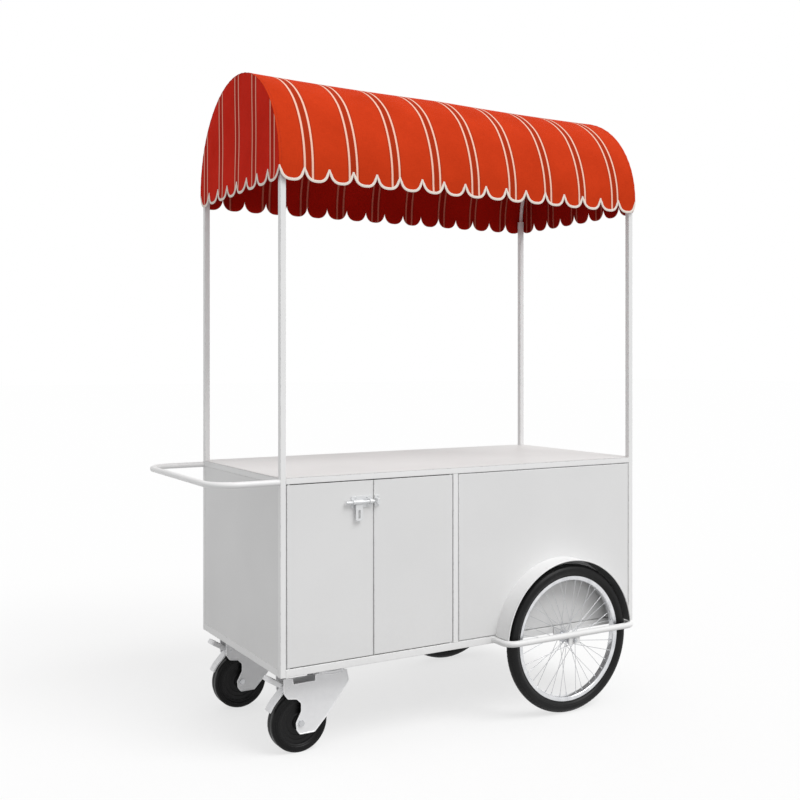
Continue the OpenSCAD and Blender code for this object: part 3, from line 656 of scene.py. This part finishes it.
def turned(name, loop, centre, finishes, steps=144, start=None, lined=0):
    """A ring round an axle along Y from a closed loop of radius and offset, or an arch of one, from a start angle
    to the same height on its other side."""
    reach = loop[0][0]
    if start is None:
        angles = [2 * pi * n / steps for n in range(steps)]
    else:
        angles = [start + (pi - 2 * start) * n / steps for n in range(steps + 1)]
    outward = [Vector((cos(a), 0.0, sin(a))) for a in angles]
    along = strung(name, [[(centre + out * reach / 1000, out, 1.0) for out in outward]], start is None)
    return carried(name, along, [((r - reach) / 1000, y / 1000) for r, y in loop], finishes, lined)


def both_ways(half):
    """A loop that is alike on both sides of the wheel, from its half."""
    return half + [(r, -y) for r, y in reversed(half)]


def tyre_loop():
    """The tyre's section: a ribbed crown, plain shoulders under the lugs, ridges on the side walls, and two beads
    that sit in the rim."""
    loop = list(beads)
    for step in range(-tyre_steps, tyre_steps + 1):
        angle = step * tyre_step
        turn = radians(angle)
        r = tyre_round - (groove_deep if abs(angle) in groove_at else 0.0)
        r += ridge_high if abs(angle) in ridge_at else 0.0
        r -= shoulder_deep if shoulder_from < abs(angle) < shoulder_to else 0.0
        loop.append((tyre_mid + r * cos(turn), r * sin(turn)))
    return loop + [(r, -y) for r, y in reversed(beads)]


def lug_pair(shape):
    """One slanted rubber block on each shoulder of the tyre."""
    for side in (1, -1):
        rings = []
        for deep, grow in lug_levels:
            r = lug_foot + deep
            turns = [(radians(lug_at + lean * grow * lug_lean), along) for lean, along in lug_plan]
            rings.append([((r * cos(turn) - lug_reach) / 1000, side * r * sin(turn) / 1000,
                           (along * grow + side * lug_stagger) / 1000) for turn, along in turns])
        skinned(shape, rings)


def lathe_item(outline, steps):
    """What fills a bmesh with a small round item along +Z, from its outline of radius and height in mm."""
    turns = [2 * pi * n / steps for n in range(steps)]
    rings = [[(r * cos(a) / 1000, r * sin(a) / 1000, z / 1000) for a in turns] for r, z in outline]
    return lambda shape: skinned(shape, rings)


def spoke_ends(side, centre):
    """Where each spoke enters the rim, and the way it runs from there to the hub."""
    rows = []
    for i in range(spoke_count):
        flange, lead, angle = (1, -1)[i % 2], (1, -1)[i // 2 % 2], 2 * pi * i / spoke_count
        root = angle + lead * spoke_lead
        outer = Vector((spoke_out * cos(angle), -side * flange * spoke_stagger, spoke_out * sin(angle)))
        hub_y = -side * (flange * hub_flange + lead * hub_half)
        run = (Vector((hub_hole * cos(root), hub_y, hub_hole * sin(root))) - outer).normalized()
        rows.append((centre + (outer + run * (spoke_out - rim_seat)) / 1000, run, (0, 1, 0)))
    return rows


lugs = solid("lugs", lug_pair)
nipple = solid("nipple", lathe_item(nipple_outline, 8))
valve = solid("valve", lathe_item(valve_outline, 16))
valve_way = Vector((cos(valve_at), 0.0, sin(valve_at)))
for end, side in ends:
    middle = Vector((axle.x, side * axle.y, axle.z))
    body = "wheel_" + end
    stand_in(turned("tyre_ribbed_" + end, tyre_loop(), middle, [tyre_rubber]), None, "tyre_" + end)
    fix(made_by("tyre_lugs_" + end, ring_of, {
        "Item": lugs, "Count": lug_count, "Radius": (tyre_mid + lug_reach) / 1000, "Start": 0.0,
        "Turn": (0.0, 0.0, 0.0), "Material": tyre_rubber}, laid_out("lug_ring", [middle])), body)
    stand_in(turned("rim_turned_" + end, both_ways(rim_half), middle, [rim_alloy]), None, "rim_" + end)
    fix(on_places("nipples_" + end, nipple, spoke_steel, spoke_ends(side, middle)), body)
    stem = [(middle + valve_way * rim_seat / 1000, -valve_way, (0, 1, 0))]
    fix(on_places("valve_" + end, valve, tyre_rubber, stem), body)
    dress(spoke_steel, "spokes_" + end)
    dress(hub_alloy, "hub_" + end)
    dress(fastener_steel, "hub_bearings_" + end)
for item in (lugs, nipple, valve):
    bpy.data.objects.remove(item)

# Fenders and guards: a fender of rolled sheet over each spoke wheel, its front edge wired to a round bead, and a
# guard of bent tube outside the wheel. The axle is bolted through a bracket on the rail and one under the guard.
fender_r, fender_half, fender_w, fender_steps = 289, 1.0, 76, 112
wire_r, wire_from, wire_turn, wire_steps = 2.4, 245.4, 310.8, 14
wire_angles = [radians(wire_from - wire_turn * n / wire_steps) for n in range(wire_steps + 1)]
wire = [(fender_r + wire_r * cos(a), fender_w + wire_r * sin(a)) for a in wire_angles]
fender_section = [(fender_r - fender_half, 0.0)] + wire + [(fender_r + fender_half, 0.0)]
guard_beads = 28
# The fender's underside gets a dark grey finish: painted shade under the fender, over the tyre.
fender_painted_shade = rubbery("fender_underside_painted_shade", colour(92, 92, 93), 0.3, (0.3, 0.0006), 0.25)
dress(white_coat, "wheel_guard_front", "wheel_guard_back", "axle_brackets")
dress(fastener_steel, "wheel_axles", "axle_nuts")
for end, side in ends:
    low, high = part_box("fender_" + end)
    start = asin((low.z - axle.z) * 1000 / fender_r)
    base = Vector((axle.x, high.y if side > 0 else low.y, axle.z))
    # The inner face of each fender takes the painted shade.
    stand_in(turned("fender_bent_" + end, [(r, -side * y) for r, y in fender_section], base,
                    [white_coat, fender_painted_shade], fender_steps, start, 2), None, "fender_" + end)
    low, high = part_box("wheel_guard_" + end)
    leg_r = (high.z - low.z) / 2
    leg_y = (high.y if side > 0 else low.y) - side * weld_sunk
    guard_ends = [(x, leg_y, low.z + leg_r) for x in (low.x + leg_r, high.x - leg_r)]
    welded("guard_welds_" + end, guard_ends, leg_r, guard_beads, (0.0, 0.0, 0.0))
bpy.data.objects.remove(weld_bead)

# Casters: a pressed steel fork that swivels on a ball race under a bolted plate, with a rubber wheel moulded on a
# dished plastic core, and a foot pedal that tips a brake shoe towards the tread. The steel is zinc plated.
caster_steel = grained("caster_steel", (238, 238, 239), 0.4, 0.25, 0.25)
# The bead round each fork's cheeks takes a lighter copy of the caster steel: its brightness is a painted
# highlight.
caster_rim_painted_highlight = grained("caster_rim_painted_highlight", (250, 250, 251), 0.36, 0.1, 0.25)
caster_rubber = rubbery("caster_rubber", colour(9, 9, 10), 0.05, (0.15, 0.0004), 0.2)
caster_core = rubbery("caster_core", black, 0.03, (0.1, 0.0003), 0.25)
joint_at = {joint["name"]: Vector(joint["pos_m"]) for joint in frame["joints"] if "pos_m" in joint}
fork_arris, fork_corner, fork_plate, fork_half = 0.0011, 0.007, 0.004, 0.0305
cheek_run, pin_room = 0.001, 0.009
rim_bead_r, rim_bead_turns = 0.0022, [n * pi / 5 for n in range(10)]
rim_bead = [(rim_bead_r * cos(a), rim_bead_r * sin(a)) for a in rim_bead_turns]
tread_steps, core_steps = 112, 96
tread_half = [
    (99.4, 1.2), (100.0, 2.6), (100.0, 15.5), (99.2, 19.0), (96.6, 21.8), (93.0, 23.0), (90.6, 23.0), (90.0, 22.2),
    (88.6, 22.2), (88.0, 23.0), (84.0, 23.0), (83.4, 22.2), (82.0, 22.2), (81.4, 22.8), (79.6, 22.0), (78.2, 20.6)]
core_half = [
    (78.0, 20.4), (75.0, 20.4), (74.0, 19.4), (70.5, 18.6), (69.5, 16.4), (58.0, 14.6), (57.0, 13.4), (44.0, 12.6),
    (43.0, 11.6), (30.0, 11.6), (27.0, 12.5), (24.4, 16.0), (24.0, 21.6), (22.8, 23.0), (9.5, 23.0), (9.0, 22.0),
    (6.1, 22.0)]
pedal_run, pedal_up = Vector((-63.8, 0.0, 38.2)) / 1000, Vector((0.513, 0.0, 0.857))
pedal_way = pedal_run.normalized()
rib_shares, rib_rise, rib_half = (0.5, 0.6, 0.7, 0.8, 0.9), 0.0025, 0.017
rib_section = [(-0.0016, -0.0004), (0.0016, -0.0004), (0.0012, 0.0007), (0.0005, 0.0012), (-0.0005, 0.0012),
               (-0.0012, 0.0007)]
lip_start, lip_reach, lip_half, lip_bend = 0.018, 0.0765, 0.02, 0.006
lip_section = [(-0.0005, -0.0022), (0.0015, -0.0022), (0.0022, -0.0012), (0.0022, 0.013), (-0.0005, 0.013)]


def cheek_edge(edge):
    """Whether an arris runs round the outline of one of a fork's cheeks."""
    return (edge.calc_length() > cheek_run and across_y(edge) < speck
            and any(abs(face.normal.y) > 0.99 for face in edge.link_faces))


def rim_path(fork, middle, pins):
    """The outline of the outer faces of a fork's cheeks as a path, without the holes for its pins."""
    shape = bmesh.new()
    shape.from_mesh(fork.data)
    faces = {face for face in shape.faces if (face.calc_center_median().y - middle.y) * face.normal.y > fork_half}
    rim = [edge for edge in shape.edges if sum(face in faces for face in edge.link_faces) == 1
           and all(hypot(v.co.x - pin.x, v.co.z - pin.z) > pin_room for v in edge.verts for pin in pins)]
    number = {}
    for edge in rim:
        for v in edge.verts:
            number.setdefault(v, len(number))
    along = path("rim_path", [(v.co[:], (0.0, 1.0, 0.0), 1.0) for v in number],
                 [[number[v] for v in edge.verts] for edge in rim])
    shape.free()
    return along


def grip_rib(shape):
    """One round-topped rib across a pedal's toe."""
    skinned(shape, [[(x, y, z) for x, z in rib_section] for y in (-rib_half, rib_half)])


def lip_path(pivot):
    """The path of a pedal's flange: down one side of the tread plate, round the toe and back."""
    bend = [radians(a) for a in range(0, 91, 30)]
    line = [(lip_start, lip_half, 0.0)]
    line += [(lip_reach + lip_bend * (sin(a) - 1), lip_half + lip_bend * (cos(a) - 1), a) for a in bend]
    line += [(s, -y, pi - a) for s, y, a in reversed(line)]
    sideways = Vector((0, 1, 0))
    return strung("lip_path", [[(pivot + pedal_way * s + sideways * y, sideways * cos(a) + pedal_way * sin(a), 1.0)
                                for s, y, a in line]])


grip = solid("grip_rib", grip_rib)
for end, _ in ends:
    middle, pivot = joint_at["caster_wheel_%s_spin" % end], joint_at["pedal_%s_press" % end]
    pedal = "pedal_" + end
    fork = rolled("caster_fork_" + end, fork_arris, cheek_edge, 2, fork_corner, fork_plate)
    fix(carried("fork_rim_" + end, rim_path(fork, middle, (middle, pivot)), rim_bead, [caster_rim_painted_highlight]),
        "caster_" + end)
    stand_in(fork, caster_steel, "caster_fork_" + end)
    stand_in(turned("caster_tread_ringed_" + end, both_ways(tread_half), middle, [caster_rubber], tread_steps),
             None, "caster_tread_" + end)
    stand_in(turned("caster_core_dished_" + end, both_ways(core_half), middle, [caster_core], core_steps),
             None, "caster_core_" + end)
    ribs = [(pivot + pedal_run * share + pedal_up * rib_rise, pedal_up, -pedal_way) for share in rib_shares]
    fix(on_places("pedal_grip_" + end, grip, caster_steel, ribs), pedal)
    fix(carried("pedal_flange_" + end, lip_path(pivot), lip_section, [caster_steel]), pedal)
    dress(caster_steel, "brake_pedal_" + end)
    dress(fastener_steel, "caster_axle_" + end, "pedal_pin_" + end)
bpy.data.objects.remove(grip)
dress(caster_steel, "caster_plates")
dress(fastener_steel, "caster_bolts", "caster_kingpins")

# Canopy frame: a hoop of 16 mm tube on each pair of posts, purlins along the sides and under the ridge, and a half
# hoop at the middle. Coated like the cabinet.
dress(white_coat, "canopy_hoops", "canopy_purlins")

# Canopy cover: one length of coated red canvas over the hoops, with pairs of thin white stripes across it. It is
# pulled tight, sags a little between the hoops, and ends in a scalloped valance bound with white tape.
cover_low, cover_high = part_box("canopy_cover")
cover_l = cover_high.x - cover_low.x
cover_half = (cover_high.y - cover_low.y) / 2
eave = cover_high.z - cover_half
cloth_t, cloth_slack = 0.0012, 0.0002
vault_r = cover_half - cloth_slack
vault_rows, valance_rows, cover_scallops = 72, 6, 17
hem_least, hem_most, hem_mean, hem_square = 0.003, 0.05, 0.045, 2.6
lobe_out, lobe_play, back_lobe = 0.0022, 0.0016, 9
lobe_step, lobe_shift, lean_step = 2.3, 0.7, 1.7
purlin_at, crown_sag, side_sag = 40, 0.0042, 0.0034
taper_rate, taper_bend = 2.2, 0.8
gather_high, gather_reach, gather_pitch, gather_fade = 0.0007, 0.018, 0.031, 10
gather_sway, gather_wander = 2.0, 17
cover_stripes = (0.0900, 0.1631, 0.0285, 0.0072)
line_blur, band_lines = 0.0004, 2.2
tape_white = colour(250, 240, 230)
tape_section = [
    (-0.0008, -0.0007), (0.008, 0.0001), (0.008, 0.0006), (0.0068, 0.0016), (0.0012, 0.0016), (-0.0008, 0.0009)]
tape_least, tape_widen, tape_lift = 0.4, 0.2, (0.0002, 0.0001)
hem_steps, hem_look = 28, 0.004
sewing = {"Pitch": 0.0048, "Stitch": 0.0034, "Thread": 0.0007}
stitch_in, stitch_up, stitch_skip = 0.0048, 0.0016, 3
seam_in, seam_up, seam_steps = 0.009, 0.0003, 120


def scallop(share):
    """How far the hem hangs below the eave at a share of a scallop's width."""
    return hem_least + (hem_most - hem_least) * sqrt(max(0.0, 1 - abs(2 * share - 1) ** hem_square))


def columns(count, steps=20):
    """Places along a valance, as a scallop's number and a share of it, close together near the peaks."""
    places = [(i, (1 - cos(pi * j / steps)) / 2) for i in range(count) for j in range(steps)]
    return places + [(count - 1, 1.0)]


def curl(i, share, drop):
    """How far a scallop's lobe stands out at a drop below the eave: each hangs a little in its own way."""
    own = lobe_out + lobe_play * sin(lobe_step * i + lobe_shift) + lobe_play * sin(lean_step * i) * (2 * share - 1)
    return (drop / hem_most) ** 2 * own


def sag(x, angle):
    """How far the cover falls in between the hoops, the half hoop and the side purlins."""
    along = 2 * x / cover_l - 1
    if purlin_at < angle < 180 - purlin_at:
        round_crown = (angle - purlin_at) / (180 - 2 * purlin_at)
        return crown_sag * abs(sin(pi * along)) * sin(pi * round_crown)
    taper = min(1.0, taper_rate * max(0.0, 1 - abs(along)) ** taper_bend)
    return side_sag * taper * sin(pi * min(angle, 180 - angle) / purlin_at)


def pucker(x, girth):
    """Small gathers where the cover is sewn to its ends."""
    fade = exp(-min(x, cover_l - x) / gather_reach)
    return gather_high * fade * sin(girth * 2 * pi / gather_pitch + gather_sway * sin(girth * gather_wander))


def cloth(name, rows, outside, inside):
    """A sheet from rows of points, each with its place on the flat cloth, in metres, for the UV map. It has its
    thickness behind its faces, and the finish of each side: the inner one is darker, a painted shade."""
    shape = bmesh.new()
    lay = shape.loops.layers.uv.new("cut")
    points = [[shape.verts.new(point) for point, _ in row] for row in rows]
    for i in range(len(rows) - 1):
        for j in range(len(rows[0]) - 1):
            corners = ((i, j), (i, j + 1), (i + 1, j + 1), (i + 1, j))
            face = shape.faces.new([points[a][b] for a, b in corners])
            for loop, (a, b) in zip(face.loops, corners):
                loop[lay].uv = rows[a][b][1]
    bmesh.ops.remove_doubles(shape, verts=shape.verts, dist=speck / 10)
    piece = made_of(name, shape, 180)
    for material in (outside, inside):
        piece.data.materials.append(material)
    step = piece.modifiers.new("thick", "SOLIDIFY")
    step.thickness = cloth_t
    step.offset = -1.0
    step.material_offset = 1
    return settled(piece)


def flat_place(tree):
    """The place on the flat cloth, in metres."""
    return add(tree, "ShaderNodeUVMap", uv_map="cut").outputs[0]


def canvas():
    """Coated canvas: its weave, slubs along both threads, fading in clouds, and stripes that the material adds."""
    tree, given, end = effect("canvas", {"Color": "Color", "Stripe": "Color", "Lines": "Float", "Band": "Float"})
    flat = flat_place(tree)
    cloud = noise(flat, 5.0, 4.0, 0.6)
    thread = reckon("ADD", *(noise(joined("ShaderNodeMapping", {"Vector": flat, "Scale": stretch}), 900.0)
                             for stretch in ((1.0, 0.05, 1.0), (0.05, 1.0, 1.0))))
    red = over(spread(cloud, 0.35, 0.7, 0.0, 0.35), given["Color"], colour(205, 190, 185), "MULTIPLY")
    red = over(given["Band"], red, colour(222, 228, 236), "MULTIPLY")
    red = over(given["Lines"], red, given["Stripe"])
    red = over(spread(thread, 0.75, 1.3, 0.0, 0.4), red, colour(200, 195, 192), "MULTIPLY")
    return give(end, Color=red, Roughness=spread(cloud, 0.3, 0.7, 0.62, 0.74), Height=thread)


weave = canvas()


def line_at(place, where, width):
    """A line of a width where a place on the cloth is near a number."""
    off = reckon("ABSOLUTE", reckon("SUBTRACT", place, where))
    return spread(off, width / 2 - line_blur, width / 2 + line_blur, 1.0, 0.0)


def striped_cloth(name, base, stripe, first, pitch, gap, width):
    """The cloth's material: pairs of stripes, from the place of the first line, their pitch and the pair's gap."""
    material = finish(name, weave, {"Color": colour(*base), "Stripe": colour(*stripe)}, (0.2, 0.0004),
                      {"Specular IOR Level": 0.02})
    tree = material.node_tree
    along = joined("ShaderNodeSeparateXYZ", {0: flat_place(tree)}, "X")
    place = reckon("FLOORED_MODULO", reckon("SUBTRACT", along, first - pitch / 4), pitch)
    pair = [line_at(place, pitch / 4 + more, width) for more in (0.0, gap)]
    group = next(node for node in tree.nodes if node.type == "GROUP")
    tree.links.new(reckon("MAXIMUM", *pair), group.inputs["Lines"])
    tree.links.new(line_at(place, pitch / 4 + gap / 2, gap + band_lines * width), group.inputs["Band"])
    return material


cover_cloth = striped_cloth("cover_canvas", (216, 64, 26), (255, 208, 188), *cover_stripes)
# The inside of the cover is a darker copy of its canvas: painted shade under the canopy.
cover_inside_painted_shade = striped_cloth("cover_canvas_inside_painted_shade", (178, 24, 12), (192, 104, 88), *cover_stripes)
tape_cloth = finish("binding_tape", weave, {"Color": tape_white, "Stripe": tape_white, "Lines": 0.0, "Band": 0.0},
                    (0.2, 0.0004), {"Sheen Weight": 0.1, "Specular IOR Level": 0.3})
thread_white = grained("white_thread", (236, 228, 216), 0.7, 0.2, 0.0, (0.1, 0.0002))
thread_red = grained("red_thread", (168, 36, 18), 0.7, 0.2, 0.0, (0.1, 0.0002))


def valance_point(i, share, drop, side):
    """A place on the outer face of the cover's front or back valance: side is -1 at the front."""
    x = cover_low.x + (i + share) * cover_l / cover_scallops
    return Vector((x, side * (vault_r + curl(i + (back_lobe if side > 0 else 0), share, drop)), eave - drop))


def valance_row(part, side):
    """A row of the cover at a part of a valance's depth."""
    row = []
    for i, share in columns(cover_scallops):
        drop = scallop(share) * part
        flat_y = -drop if side < 0 else pi * vault_r + drop
        row.append((valance_point(i, share, drop, side), ((i + share) * cover_l / cover_scallops, flat_y)))
    return row


def vault_row(angle):
    """A row of the cover at an angle round the vault, in degrees from the front eave."""
    row, turn = [], radians(angle)
    for i, share in columns(cover_scallops):
        x = (i + share) * cover_l / cover_scallops
        gather = pucker(x, vault_r * turn) * min(1.0, angle / gather_fade, (180 - angle) / gather_fade)
        r = vault_r - sag(x, angle) + gather
        row.append((Vector((cover_low.x + x, -r * cos(turn), eave + r * sin(turn))), (x, vault_r * turn)))
    return row


cover_rows = [valance_row(n / valance_rows, -1) for n in range(valance_rows, 0, -1)]
cover_rows += [vault_row(180 * n / vault_rows) for n in range(vault_rows + 1)]
cover_rows += [valance_row(n / valance_rows, 1) for n in range(1, valance_rows + 1)]
cover = cloth("canopy_cover_cloth", cover_rows, cover_cloth, cover_inside_painted_shade)
stand_in(cover, None, "canopy_cover")


def hem_line(i, place, out):
    """One scallop's hem as a path for its tape, whose X points in from the hem and whose Y points out of the
    cloth. The tape narrows where two scallops meet, and neighbours lie at two heights."""
    line = []
    for n in range(hem_steps + 1):
        share = (1 - cos(pi * n / hem_steps)) / 2
        near = (max(0.0, share - hem_look), share, min(1.0, share + hem_look))
        before, at, after = (place(i, s, scallop(s)) for s in near)
        inward = out.cross((after - before).normalized()).normalized()
        turned_round = inward.z < 0
        narrow = min(1.0, tape_least + tape_widen * min(n, hem_steps - n))
        line.append((at + out * tape_lift[i % 2], -inward if turned_round else inward, narrow))
    return line[::-1] if turned_round else line


def stitches():
    """A row of stitches along a path: each is a short round thread that dips at its ends."""
    tree, given, end = geometry("stitch_row", {
        "Pitch": "Float", "Stitch": "Float", "Thread": "Float", "Material": "Material"})
    line = joined("GeometryNodeMeshToCurve", {"Mesh": given["Geometry"]})
    even = joined("GeometryNodeResampleCurve", {"Curve": line, "Length": given["Pitch"]}, mode="LENGTH")
    ball = add(tree, "GeometryNodeMeshUVSphere", {"Segments": 6, "Rings": 4, "Radius": 0.5}).outputs[0]
    smooth = joined("GeometryNodeSetShadeSmooth", {"Geometry": ball})
    size = joined("ShaderNodeCombineXYZ", {"X": given["Thread"], "Y": given["Thread"], "Z": given["Stitch"]})
    turn = aligned("Z", add(tree, "GeometryNodeInputTangent").outputs[0])
    return close_tree(end, set_on(even, smooth, turn, size), given["Material"])


sew = stitches()


def bound(owner, end, hems):
    """Tape sewn along the hems of a sheet: each hem has its lines and the way out of the cloth."""
    lines = [(line, out) for hem, out in hems for line in hem]
    edges = strung("hem", [line for line, _ in lines])
    tape = carried(owner + "_binding" + end, edges, tape_section, [tape_cloth], 0, 50)
    sewn = [[(place + inward * stitch_in + out * stitch_up, out, 1.0)
             for place, inward, _ in line[stitch_skip:-stitch_skip]] for line, out in lines]
    rows = made_by(owner + "_stitches" + end, sew, {**sewing, "Material": thread_white}, strung("sewn", sewn))
    for piece in (tape, rows):
        fix(piece, "frame")
    return tape, rows


def valance_hem(side):
    """The hem of the front or the back valance, and the way out of its cloth."""
    out = Vector((0, side, 0))
    return [hem_line(i, lambda *at: valance_point(*at, side), out) for i in range(cover_scallops)], out


tape, rows = bound("cover", "", [valance_hem(side) for side in (-1, 1)])
seam_r = vault_r + seam_up
arch = [pi * n / seam_steps for n in range(seam_steps + 1)]
seams = [[(Vector((x, -seam_r * cos(a), eave + seam_r * sin(a))), (1, 0, 0), 1.0) for a in arch]
         for x in (cover_low.x + seam_in, cover_high.x - seam_in)]
seam = made_by("cover_seams", sew, {**sewing, "Material": thread_red}, strung("seam_path", seams))
fix(seam, "frame")

# Canopy ends: a half round of the same canvas, a deeper red, sewn into each end of the cover. It bellies inwards a
# little under its own pull, and has eight scallops bound like the cover's.
end_low, end_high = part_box("canopy_end_left")
end_r = (end_high.y - end_low.y) / 2 - cloth_slack
end_scallops, end_rows, end_in, end_lobe, end_hem_mean = 8, 40, 0.0007, 3, 0.038
belly_deep, belly_r, belly_rise = 0.005, 0.335, 0.2
end_stripes = (-0.0165, 0.155, 0.033, 0.0076)
end_cloth = striped_cloth("end_canvas", (224, 42, 24), (250, 172, 152), *end_stripes)
# The inside of each end is a darker copy of its canvas: painted shade under the canopy.
end_inside_painted_shade = striped_cloth("end_canvas_inside_painted_shade", (165, 22, 12), (184, 98, 84), *end_stripes)


def end_y(i, share):
    """The place across an end of a share of a scallop."""
    return -end_r + (i + share) * 2 * end_r / end_scallops


def end_point(i, share, drop, side, face_x):
    """A place on the outer face of a canopy end, at a drop below the eave, or above it."""
    y = end_y(i, share)
    if drop >= 0:
        return Vector((face_x + side * curl(i + end_lobe, share, drop), y, eave - drop))
    near = min(1.0, hypot(y, drop) / belly_r)
    rise = min(1.0, -drop / belly_rise)
    belly = belly_deep * (1 - near * near) ** 2 * rise * rise * (3 - 2 * rise)
    return Vector((face_x - side * belly, y, eave - drop))


def end_row(n, side, face_x):
    """A row of a canopy end: up to row 0 it lies in the valance, and from there in the half round."""
    row = []
    for i, share in columns(end_scallops):
        y = end_y(i, share)
        tall = sqrt(max(0.0, end_r ** 2 - y ** 2))
        drop = scallop(share) * -n / valance_rows if n <= 0 else -tall * sin(pi / 2 * n / end_rows)
        row.append((end_point(i, share, drop, side, face_x), (y, -drop)))
    return row[::side]


for end, side in (("left", -1), ("right", 1)):
    low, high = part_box("canopy_end_" + end)
    face_x = low.x + end_in if side < 0 else high.x - end_in
    sheet = cloth("canopy_end_%s_cloth" % end,
                  [end_row(n, side, face_x) for n in range(-valance_rows, end_rows + 1)], end_cloth, end_inside_painted_shade)
    stand_in(sheet, None, "canopy_end_" + end)
    out = Vector((side, 0, 0))
    hem = [hem_line(i, lambda *at: end_point(*at, side, face_x), out) for i in range(end_scallops)]
    tape, rows = bound("end", "_" + end, [(hem, out)])

# Studio: a plain white floor and surround, one broad soft lamp from the front right, and the camera at standing
# height, turned about 30 degrees from the front of the cart.
floor_half, floor_glow, floor_greys, surround_light = 60, 0.68, (0.5, 0.92), 0.62
key_way = Vector((-0.15, 0.3, -0.45))
white = (1.0, 1.0, 1.0, 1.0)


def emptied(owner):
    """The node tree of a material or a world, cleared."""
    owner.use_nodes = True
    owner.node_tree.nodes.clear()
    return owner.node_tree


def seen(tree):
    """Whether a ray shows the surround to the camera, straight or by way of metal or glass."""
    ray = add(tree, "ShaderNodeLightPath").outputs
    shown = reckon("MAXIMUM", ray["Is Camera Ray"], ray["Is Glossy Ray"])
    return reckon("MAXIMUM", shown, ray["Is Transmission Ray"])


floor = placed("studio_floor", bpy.data.meshes.new("studio_floor"))
floor.data.from_pydata([(i * floor_half, j * floor_half, 0) for i, j in ((-1, -1), (1, -1), (1, 1), (-1, 1))], [],
                       [(0, 1, 2, 3)])
floor_white = bpy.data.materials.new("studio_floor")
tree = emptied(floor_white)
dull, bright = (add(tree, "ShaderNodeBsdfDiffuse", {"Color": (grey, grey, grey, 1.0)}).outputs[0]
                for grey in floor_greys)
glow = add(tree, "ShaderNodeEmission", {"Color": white, "Strength": 1.0}).outputs[0]
clean = joined("ShaderNodeMixShader", {0: floor_glow, 1: bright, 2: glow})
face = joined("ShaderNodeMixShader", {0: seen(tree), 1: dull, 2: clean})
add(tree, "ShaderNodeOutputMaterial", {"Surface": face})
floor.data.materials.append(floor_white)

world = bpy.context.scene.world or bpy.data.worlds.new("studio")
bpy.context.scene.world = world
tree = emptied(world)
strength = spread(seen(tree), 0.0, 1.0, surround_light, 1.0)
surround = joined("ShaderNodeBackground", {"Color": white, "Strength": strength})
add(tree, "ShaderNodeOutputWorld", {"Surface": surround})

sun = bpy.data.lights.new("key", "SUN")
sun.energy = 1.75
sun.angle = radians(35)
placed("key", sun).rotation_euler = key_way.to_track_quat("-Z", "Y").to_euler()

lens = bpy.data.cameras.new("camera")
lens.lens = 46.6
lens.sensor_width = 36.0
lens.shift_y = -0.0459
camera = placed("camera", lens)
camera.location = (-1.982, -3.400, 1.2864)
camera.rotation_euler = (radians(90), 0.0, radians(-30.427))
bpy.context.scene.camera = camera
bpy.context.scene.view_settings.view_transform = "Standard"
